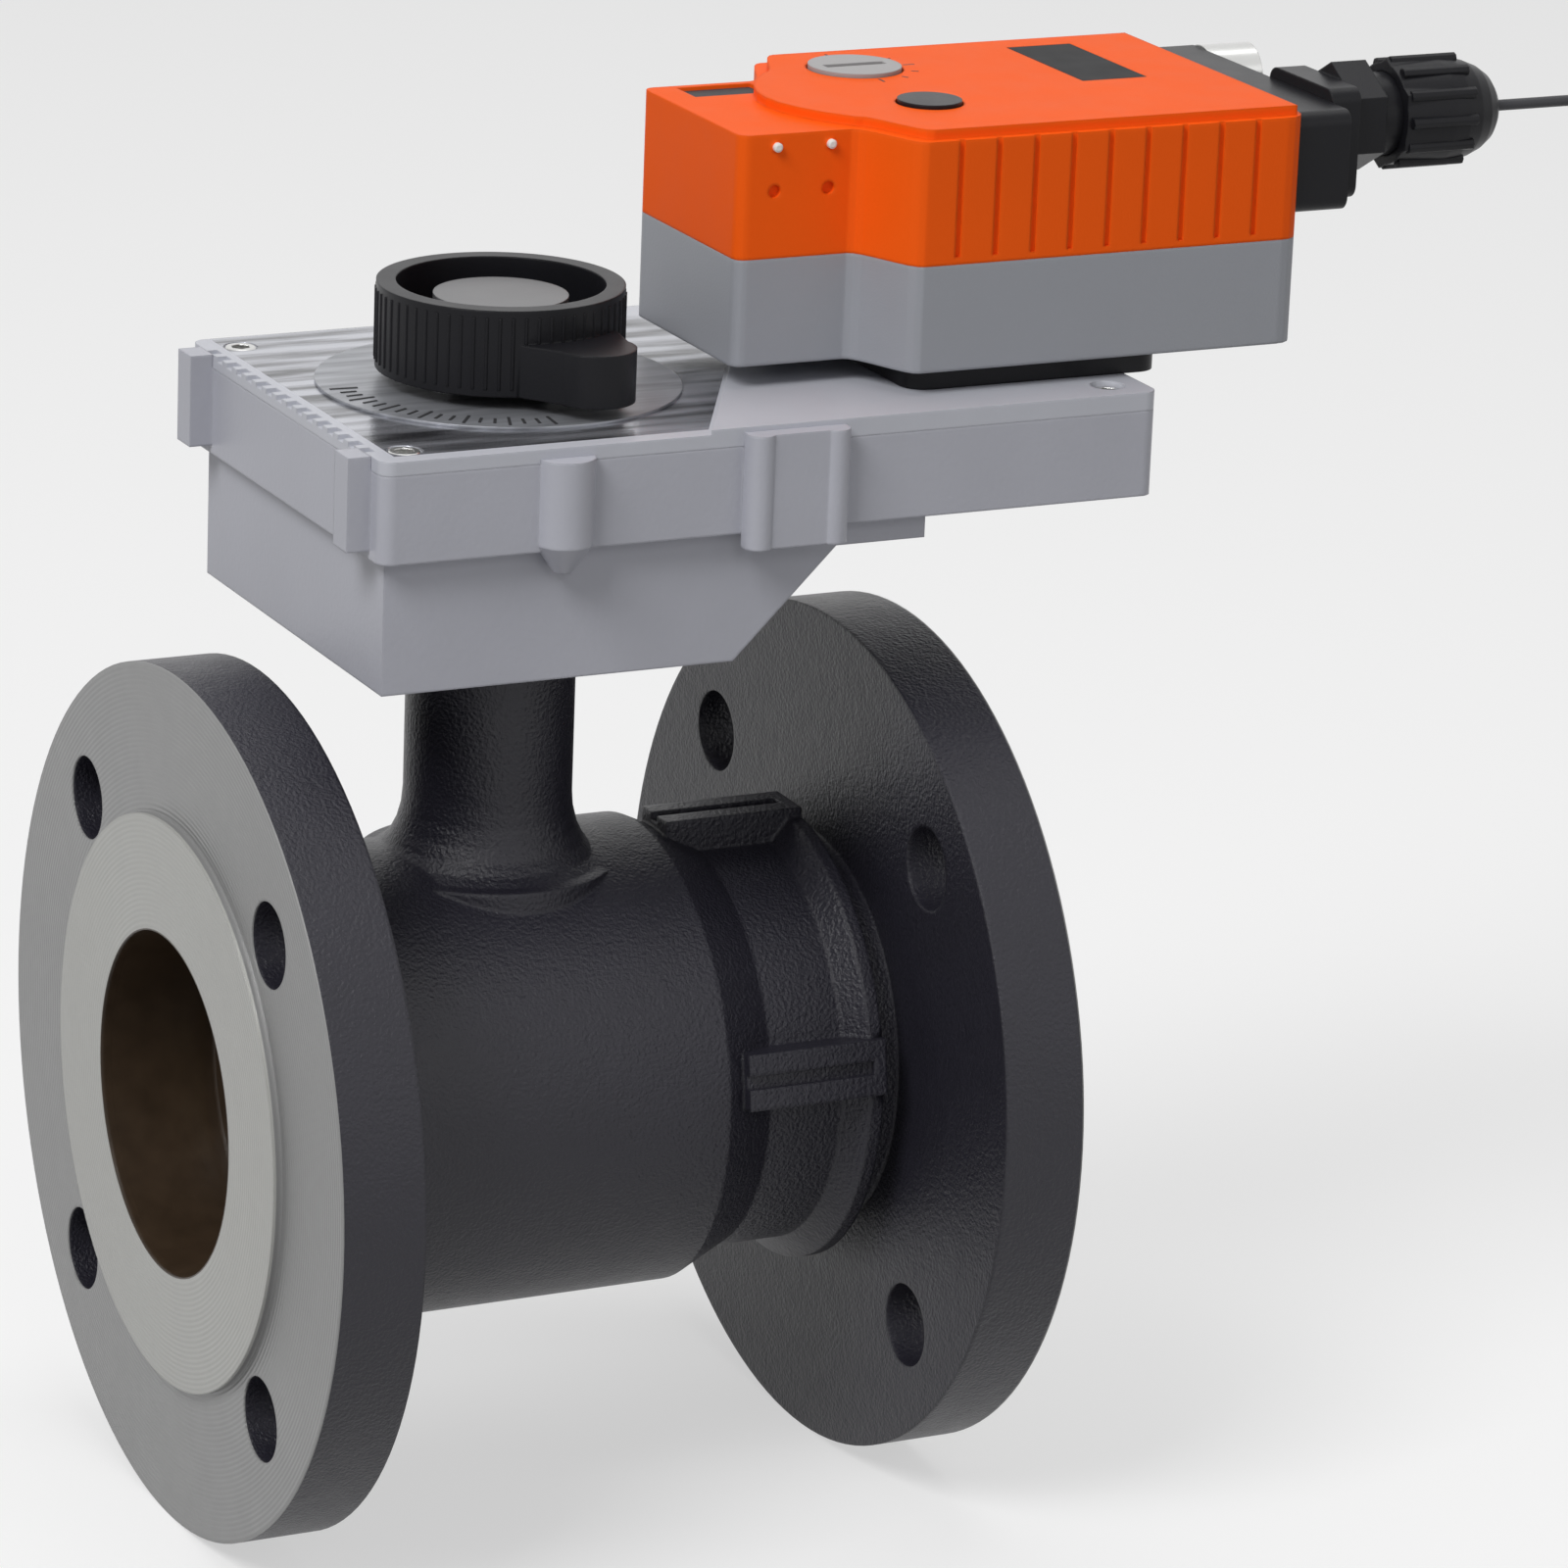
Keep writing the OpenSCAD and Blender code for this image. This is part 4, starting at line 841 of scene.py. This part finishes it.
def islands(node: str) -> list[tuple[Vector, Vector]]:
    """Separate solids of a CAD node.

    Args:
        node: The node's name.

    Returns:
        Lowest and highest corner of each solid, in a fixed order.
    """
    work = bmesh.new()
    work.from_mesh(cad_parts[node].data)
    bmesh.ops.remove_doubles(work, verts=work.verts, dist=0.00001)
    left = set(work.verts)
    found = []
    while left:
        stack = [left.pop()]
        seen = []
        while stack:
            vert = stack.pop()
            seen.append(vert.co.copy())
            for edge in vert.link_edges:
                other = edge.other_vert(vert)
                if other in left:
                    left.discard(other)
                    stack.append(other)
        found.append((Vector(map(min, zip(*seen))), Vector(map(max, zip(*seen)))))
    work.free()
    return sorted(found, key=lambda corners: tuple(corners[0]))


def dress(looks: dict[str, Finish]) -> None:
    """Gives CAD nodes their finishes.

    Args:
        looks: Finish of each node by its name.
    """
    for node, finish in looks.items():
        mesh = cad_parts[node].data
        mesh.materials.clear()
        mesh.materials.append(finish.material())
        LOG.info("%s: %s", node, finish.name)


def keep(
    piece: bpy.types.Object, body: str, replaced: Iterable[str] = (),
) -> bpy.types.Object:
    """Hangs a new piece on its body.

    Args:
        piece: The new piece.
        body: The CAD body it moves with.
        replaced: CAD nodes that it stands for.

    Returns:
        The piece.
    """
    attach(piece, body)
    if replaced:
        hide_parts(*replaced)
    LOG.info("%s: rides on %s", piece.name, body)
    return piece


@dataclass
class Studio:
    """Camera, lamps, world and floor.

    Attributes:
        eye: Camera's place in metres.
        yaw: Camera's turn from +Y towards +X, in degrees.
        pitch: How far it looks down, in degrees.
        roll: Its roll, in degrees.
        focal: Focal length in units of the frame's width.
        floor_z: Height of the floor.
        floor_glow: Share of the floor's white that needs no lamp, for the camera alone.
        target: Middle of the object, at which the lamps aim.
        sensor: Width of the camera's sensor in millimetres.
        ambient: Strength of the even light on the object.
        half: Half width of the floor in metres.
        lamps: Name, place, width in metres and power in watts of each lamp.
    """

    eye: Point = (-0.5250, -1.3319, 0.5273)
    yaw: float = 26.587
    pitch: float = 17.586
    roll: float = 2.302
    focal: float = 7435.0 / 1600.0
    floor_z: float = -0.0926
    floor_glow: float = 0.55
    target: Point = (0.13, 0.0, 0.06)
    sensor: float = 36.0
    ambient: float = 0.22
    half: float = 4.0
    lamps: tuple[tuple[str, Point, float, float], ...] = (
        ("key lamp", (-1.5, -0.9, 2.0), 1.1, 44.0),
        ("top lamp", (0.5, 0.4, 2.4), 1.6, 17.0),
        ("front strip", (-0.2, -1.7, 1.1), 0.5, 2.2),
        ("fill lamp", (1.6, -2.0, 0.9), 1.6, 3.0),
    )

    def camera(self) -> bpy.types.Object:
        """Sets up the photograph's view.

        Returns:
            The camera.
        """
        yaw, pitch, roll = (math.radians(a) for a in (self.yaw, self.pitch, self.roll))
        ahead = Vector((
            math.sin(yaw) * math.cos(pitch), math.cos(yaw) * math.cos(pitch), -math.sin(pitch),
        ))
        right = Vector((math.cos(yaw), -math.sin(yaw), 0.0))
        up = right.cross(ahead)
        across = math.cos(roll) * right + math.sin(roll) * up
        top = math.cos(roll) * up - math.sin(roll) * right
        data = bpy.data.cameras.new("camera")
        data.sensor_fit = "HORIZONTAL"
        data.sensor_width = self.sensor
        data.lens = self.sensor * self.focal
        data.clip_start = 0.01
        data.clip_end = 50.0
        made = link("camera", data)
        turn = Matrix((across, top, -ahead)).transposed().to_4x4()
        made.matrix_world = Matrix.Translation(self.eye) @ turn
        bpy.context.scene.camera = made
        return made

    def lamp(self, name: str, place: Point, size: float, watts: float) -> None:
        """Adds one soft lamp aimed at the object.

        Args:
            name: Its name.
            place: Where it stands.
            size: Its width in metres.
            watts: Its power.
        """
        data = bpy.data.lights.new(name, "AREA")
        data.shape = "SQUARE"
        data.size = size
        data.energy = watts
        made = link(name, data)
        away = Vector(place) - Vector(self.target)
        turn = away.to_track_quat("Z", "Y").to_matrix().to_4x4()
        made.matrix_world = Matrix.Translation(place) @ turn

    def shown(self, tree: bpy.types.NodeTree) -> bpy.types.NodeSocket:
        """1 for what the camera sees, also in a reflection or through glass.

        Args:
            tree: The node tree to add to.

        Returns:
            The share.
        """
        path = tree.nodes.new("ShaderNodeLightPath")
        share = path.outputs["Is Camera Ray"]
        for name in ("Is Glossy Ray", "Is Transmission Ray"):
            more = tree.nodes.new("ShaderNodeMath")
            more.operation = "MAXIMUM"
            tree.links.new(share, more.inputs[0])
            tree.links.new(path.outputs[name], more.inputs[1])
            share = more.outputs[0]
        return share

    def world(self) -> None:
        """Even pale light from all round, white to the camera."""
        world = bpy.data.worlds.new("studio")
        world.use_nodes = True
        bpy.context.scene.world = world
        nodes, links = world.node_tree.nodes, world.node_tree.links
        nodes.clear()
        seen = self.shown(world.node_tree)
        soft, white = (nodes.new("ShaderNodeBackground") for _ in range(2))
        for background in (soft, white):
            background.inputs["Color"].default_value = (1.0, 1.0, 1.0, 1.0)
        soft.inputs["Strength"].default_value = self.ambient
        blend = nodes.new("ShaderNodeMixShader")
        links.new(seen, blend.inputs[0])
        links.new(soft.outputs[0], blend.inputs[1])
        links.new(white.outputs[0], blend.inputs[2])
        output = nodes.new("ShaderNodeOutputWorld")
        links.new(blend.outputs[0], output.inputs[0])

    def floor(self) -> None:
        """Lays the pale floor."""
        mesh = bpy.data.meshes.new("floor")
        half = self.half
        corners = [(-half, -half), (half, -half), (half, half), (-half, half)]
        mesh.from_pydata([(x, y, self.floor_z) for x, y in corners], [], [(0, 1, 2, 3)])
        pale = bpy.data.materials.new("pale floor")
        pale.use_nodes = True
        tree = pale.node_tree
        tree.nodes.clear()
        seen, lit = (tree.nodes.new("ShaderNodeBsdfDiffuse") for _ in range(2))
        seen.inputs["Color"].default_value = (0.93, 0.93, 0.93, 1.0)
        lit.inputs["Color"].default_value = (0.42, 0.42, 0.42, 1.0)
        blend = tree.nodes.new("ShaderNodeMixShader")
        tree.links.new(self.shown(tree), blend.inputs[0])
        tree.links.new(lit.outputs[0], blend.inputs[1])
        glow = tree.nodes.new("ShaderNodeEmission")
        bright = tree.nodes.new("ShaderNodeMixShader")
        bright.inputs[0].default_value = self.floor_glow
        tree.links.new(seen.outputs[0], bright.inputs[1])
        tree.links.new(glow.outputs[0], bright.inputs[2])
        tree.links.new(bright.outputs[0], blend.inputs[2])
        tree.links.new(blend.outputs[0], tree.nodes.new("ShaderNodeOutputMaterial").inputs[0])
        mesh.materials.append(pale)
        link("floor", mesh)

    def build(self) -> None:
        """Lights the object and lays the floor."""
        bpy.context.scene.view_settings.view_transform = "Standard"
        self.world()
        for name, place, size, watts in self.lamps:
            self.lamp(name, place, size, watts)
        self.floor()


@dataclass
class Lead:
    """The actuator's lead, from the gland to its coil on the floor.

    Attributes:
        width: Diameter in metres.
        exit: Where it leaves the gland; not used.
        turns: Turns of the coil.
        layers: Layers of the coil.
        pitch: Spacing of turns in a layer.
        layer_pitch: Spacing of the layers.
        mid: Radius at the middle of a layer.
        steps: Points on each turn.
        parts: Steps between two points of the route.
        route: Points of the route in metres, from the gland's mouth on.
    """

    width: float = 0.0024
    exit: Point = (0.2975, -0.014, 0.197)
    turns: int = 8
    layers: int = 4
    pitch: float = 0.0029
    layer_pitch: float = 0.003
    mid: float = 0.013
    steps: int = 48
    parts: int = 4
    route: tuple[Point, ...] = (
        (0.2975, -0.014, 0.197), (0.304, -0.014, 0.197), (0.311, -0.014, 0.197),
        (0.318, -0.014, 0.197), (0.326, -0.0142, 0.1969), (0.3339, -0.0154, 0.1964),
        (0.3414, -0.0177, 0.1949), (0.348, -0.0213, 0.1924), (0.3533, -0.026, 0.1886),
        (0.3567, -0.0311, 0.1835), (0.3584, -0.0359, 0.1773), (0.3594, -0.0395, 0.1703),
        (0.3601, -0.042, 0.1628), (0.3605, -0.0433, 0.1549), (0.3606, -0.0439, 0.1469),
        (0.3607, -0.044, 0.1389), (0.3607, -0.044, 0.118), (0.3607, -0.044, 0.096),
        (0.3607, -0.044, 0.07), (0.3607, -0.044, 0.04), (0.3607, -0.044, 0.01),
        (0.3607, -0.044, -0.02), (0.3607, -0.044, -0.04), (0.3607, -0.0445, -0.052),
        (0.3607, -0.046, -0.062), (0.3607, -0.05, -0.071), (0.3607, -0.056, -0.0775),
        (0.3607, -0.063, -0.0807), (0.3607, -0.068, -0.081), (0.3607, -0.072, -0.081),
    )

    def smooth(self, points: Sequence[Vector]) -> list[Vector]:
        """Smooth curve through the route's points.

        Args:
            points: The points.

        Returns:
            Points of the curve.
        """
        last = len(points) - 1
        curve = []
        for i in range(last):
            a, b, c, d = (points[min(last, max(0, i + k))] for k in (-1, 0, 1, 2))
            for k in range(self.parts):
                t = k / self.parts
                curve.append((2 * b + (c - a) * t + (2 * a - 5 * b + 4 * c - d) * t * t
                              + (3 * b - a - 3 * c + d) * t ** 3) / 2)
        return [*curve, points[last]]

    def coil(self, start: Vector) -> list[Vector]:
        """Centre line of the coil, layer by layer.

        Args:
            start: Where the coil begins, at its top.

        Returns:
            Points of the coil.
        """
        each = self.turns / self.layers
        outer = self.mid + self.pitch * each / 2
        centre = Vector((start.x + outer, start.y - self.width, 0.0))
        low = start.z - self.layer_pitch * (self.layers - 1)
        points = []
        for i in range(self.turns * self.steps + 1):
            s = i / self.steps
            layer = math.floor(s / each)
            share = s / each - layer
            radius = outer - self.pitch * each * (share if layer % 2 == 0 else 1 - share)
            turn = round(s / each)
            near = s - turn * each
            climb = max(-0.5, min(0.5, 2 * near))
            height = start.z if turn == 0 else low if turn == self.layers else (
                start.z - self.layer_pitch * (turn - 0.5 + climb))
            angle = 2 * math.pi * s
            points.append(Vector((
                centre.x - radius * math.cos(angle), centre.y - radius * math.sin(angle), height,
            )))
        points.append(Vector((centre.x - outer, start.y - 2 * self.width, low)))
        return points

    def build(self) -> None:
        """Lays the lead as one cord with its tie and cores."""
        route = [Vector(p) for p in self.route]
        line = self.smooth(route) + self.coil(route[-1])
        data = bpy.data.curves.new("actuator_lead", "CURVE")
        data.dimensions = "3D"
        data.bevel_depth = self.width / 2
        data.bevel_resolution = 3
        data.use_fill_caps = True
        spline = data.splines.new("POLY")
        spline.points.add(len(line) - 1)
        for spot, point in zip(spline.points, line):
            spot.co = (*point, 1.0)
        data.materials.append(SHEATH.material())
        piece = keep(link("actuator_lead", data), "valve", ["lead", "lead_coil"])
        dress({"lead_tie": BLACK, "lead_cores": COPPER})


@dataclass
class Valve:
    """Cast body, tail piece, ball and seals.

    Attributes:
        looks: Finish of each node.
    """

    looks: dict[str, Finish] = field(default_factory=lambda: {
        "valve_body": IRON, "tail_piece": IRON, "tail_seal": RUBBER, "control_disc": STEEL,
        "inlet_seat": SEAT, "outlet_seat": SEAT, "ball": BRASS, "stem": STEEL,
        "thrust_washer": SEAT, "lower_bush": BRONZE, "stem_seals": RUBBER, "upper_bush": BRONZE,
        "gland_ring": STEEL,
    })

    def build(self) -> None:
        """Dresses the valve."""
        dress(self.looks)


@dataclass
class GearHousing:
    """Housing of the reduction gear, with its scale and indicator.

    Attributes:
        stem_x: Stem's place along the flow axis.
        knob_r: Radius of the indicator.
        knob_low: Lowest height of its grip ribs.
        knob_high: Highest height of its grip ribs.
        rib_count: Number of grip ribs.
        tick_ring: Radius of the angle scale.
        head_t: Height of a cover screw's head.
        looks: Finish of each node.
    """

    stem_x: float = 0.072
    knob_r: float = 0.0257
    knob_low: float = 0.1545
    knob_high: float = 0.1695
    rib_count: int = 60
    tick_ring: float = 0.0335
    head_t: float = 0.003
    looks: dict[str, Finish] = field(default_factory=lambda: {
        "gear_housing": PAINT, "mounting_nut": STEEL, "housing_cover": COVER, "stem_gear": STEEL,
        "idler_pin": STEEL, "idler_gear": STEEL, "drive_shaft": STEEL, "drive_bush": BRONZE,
        "scale_plate": SHEET, "indicator": BLACK, "spindle_disc": KNOB_TOP,
    })

    def ribs(self, bars: Pattern) -> None:
        """Grip ribs round the indicator.

        Args:
            bars: Ring of bars.
        """
        centre = (self.stem_x, 0.0, (self.knob_low + self.knob_high) / 2)
        piece = bars.make(
            "indicator_ribs", BLACK, Count=self.rib_count, Ring=self.knob_r - 0.0001, Bar=0.0004,
            Length=self.knob_high - self.knob_low, Centre=centre,
        )
        keep(piece, "rotor")

    def scale(self, ticks: Pattern) -> None:
        """Angle scale round the indicator, a quarter turn long.

        Args:
            ticks: Arc of ticks.
        """
        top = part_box("scale_plate")[1][2]
        piece = ticks.make(
            "angle_scale", DARK_INK, Count=19, Ring=self.tick_ring, First=math.radians(-185),
            Step=math.radians(5), Long=0.0035, Wide=0.0006, Thick=0.0002,
            Centre=(self.stem_x, 0.0, top + 0.00005),
        )
        keep(piece, "valve")

    def screws(self, place: Pattern) -> None:
        """Socket screws that hold the cover down.

        Args:
            place: Templates set on points.
        """
        found = islands("cover_screws")
        low, high = found[0]
        wide, tall = high.x - low.x, high.z - low.z
        template = socket_screw("cover screw", wide / 2, self.head_t, tall - self.head_t, ZINC)
        spots = [((a.x + b.x) / 2, (a.y + b.y) / 2, b.z) for a, b in found]
        piece = place.make(
            "cover_socket_screws", ZINC, spots, Template=template, Turn=(0.0, 0.0, 0.3),
        )
        bpy.data.objects.remove(template)
        keep(piece, "valve", ["cover_screws"])

    def build(self, bars: Pattern, ticks: Pattern, place: Pattern) -> None:
        """Dresses the housing and adds its small pieces.

        Args:
            bars: Ring of bars.
            ticks: Arc of ticks.
            place: Templates set on points.
        """
        dress(self.looks)
        self.ribs(bars)
        self.scale(ticks)
        self.screws(place)


@dataclass
class Actuator:
    """Electric actuator with its case, controls and terminal box.

    Attributes:
        dial: Centre of the direction dial.
        dial_r: Radius of the marks round it.
        nut_from: Where the gland nut's grip begins.
        nut_to: Where it ends.
        nut_r: Radius of the gland nut's grip.
        gland: Place of the gland's axis across and up.
        dots_x: Places of the pale dots along the case.
        nose_y: Side face of the nose.
        dots_z: Height of the pale dots.
        recess: Lowest and highest corner of the dark panel in the nose's recess.
        spring_kept: Share of its length that the button's spring keeps when the button is in; not
            used.
        looks: Finish of each node.
    """

    dial: tuple[float, float] = (0.162, 0.021)
    dial_r: float = 0.0128
    nut_from: float = 0.2725
    nut_to: float = 0.2885
    nut_r: float = 0.0111
    gland: tuple[float, float] = (-0.014, 0.197)
    dots_x: tuple[float, float] = (0.122, 0.1343)
    nose_y: float = -0.0240
    dots_z: float = 0.2013
    recess: tuple[Point, Point] = ((0.1213, 0.0133, 0.2027), (0.1377, 0.0217, 0.2032))
    spring_kept: float = 0.46
    looks: dict[str, Finish] = field(default_factory=lambda: {
        "adapter_plate": BLACK, "adapter_screws": ZINC, "actuator_base": GREY, "case_screws": ZINC,
        "actuator_gear": SEAT, "gear_plate": STEEL, "plate_screws": ZINC, "motor": STEEL,
        "motor_pinion": BRASS, "circuit_board": BOARD, "actuator_cover": ORANGE,
        "release_button": BLACK, "button_spring": STEEL, "direction_dial": DIAL,
        "display_window": GLASS, "terminal_box": BLACK, "terminal_block": BOARD,
        "blanking_plug": ZINC, "gland_base": BLACK, "gland_seal": RUBBER, "gland_nut": BLACK,
    })

    def dial_marks(self, ticks: Pattern) -> None:
        """Marks moulded round the direction dial.

        Args:
            ticks: Arc of ticks.
        """
        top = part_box("actuator_cover")[1][2]
        piece = ticks.make(
            "dial_marks", DARK_INK, Count=7, Ring=self.dial_r, First=math.radians(-90),
            Step=math.radians(30), Long=0.0016, Wide=0.0005, Thick=0.0001,
            Centre=(*self.dial, top - 0.00002),
        )
        keep(piece, "valve")

    def gland_ribs(self, bars: Pattern) -> None:
        """Grip ribs along the gland nut.

        Args:
            bars: Ring of bars.
        """
        centre = ((self.nut_from + self.nut_to) / 2, *self.gland)
        piece = bars.make(
            "gland_nut_ribs", BLACK, Count=12, Ring=self.nut_r, Bar=0.0013,
            Length=self.nut_to - self.nut_from, Turn=(0.0, math.pi / 2, 0.0), Centre=centre,
        )
        keep(piece, "valve")

    def nose_dots(self) -> None:
        """Pale dots on the nose's side."""
        turn = Matrix.Rotation(math.radians(90), 3, "X")
        outline = [(-0.0004, 0.0010), (0.0011, 0.0010), (0.0014, 0.0006)]
        for i, x in enumerate(self.dots_x):
            piece = spun(
                f"light_guide_{i + 1}", outline, (x, self.nose_y, self.dots_z), WHITE_INK, 20, turn,
            )
            keep(piece, "valve")

    def recess_panel(self) -> None:
        """Dark panel laid on the floor of the nose's recess."""
        (x0, y0, z0), (x1, y1, z1) = self.recess
        rings = [[(x0, y0, z), (x1, y0, z), (x1, y1, z), (x0, y1, z)] for z in (z0, z1)]
        keep(loft("recess_insert", rings, DARK_INK), "valve")

    def spring_travel(self) -> None:
        """Gives the button's spring a mesh of its own."""
        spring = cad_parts["button_spring"]
        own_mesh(spring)

    def build(self, bars: Pattern, ticks: Pattern) -> None:
        """Dresses the actuator and adds its small pieces.

        Args:
            bars: Ring of bars.
            ticks: Arc of ticks.
        """
        dress(self.looks)
        self.dial_marks(ticks)
        self.gland_ribs(bars)
        self.nose_dots()
        self.recess_panel()
        self.spring_travel()


def main() -> None:
    """Builds the scene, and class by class."""
    logging.basicConfig(level=logging.INFO, format="%(message)s")
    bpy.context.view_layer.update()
    studio = Studio()
    studio.camera()
    Lead().build()
    studio.build()
    bars, ticks, place = rib_ring(), tick_arc(), set_out()
    Valve().build()
    GearHousing().build(bars, ticks, place)
    Actuator().build(bars, ticks)
    LOG.info("boxes written")


if __name__ == "__main__":
    main()
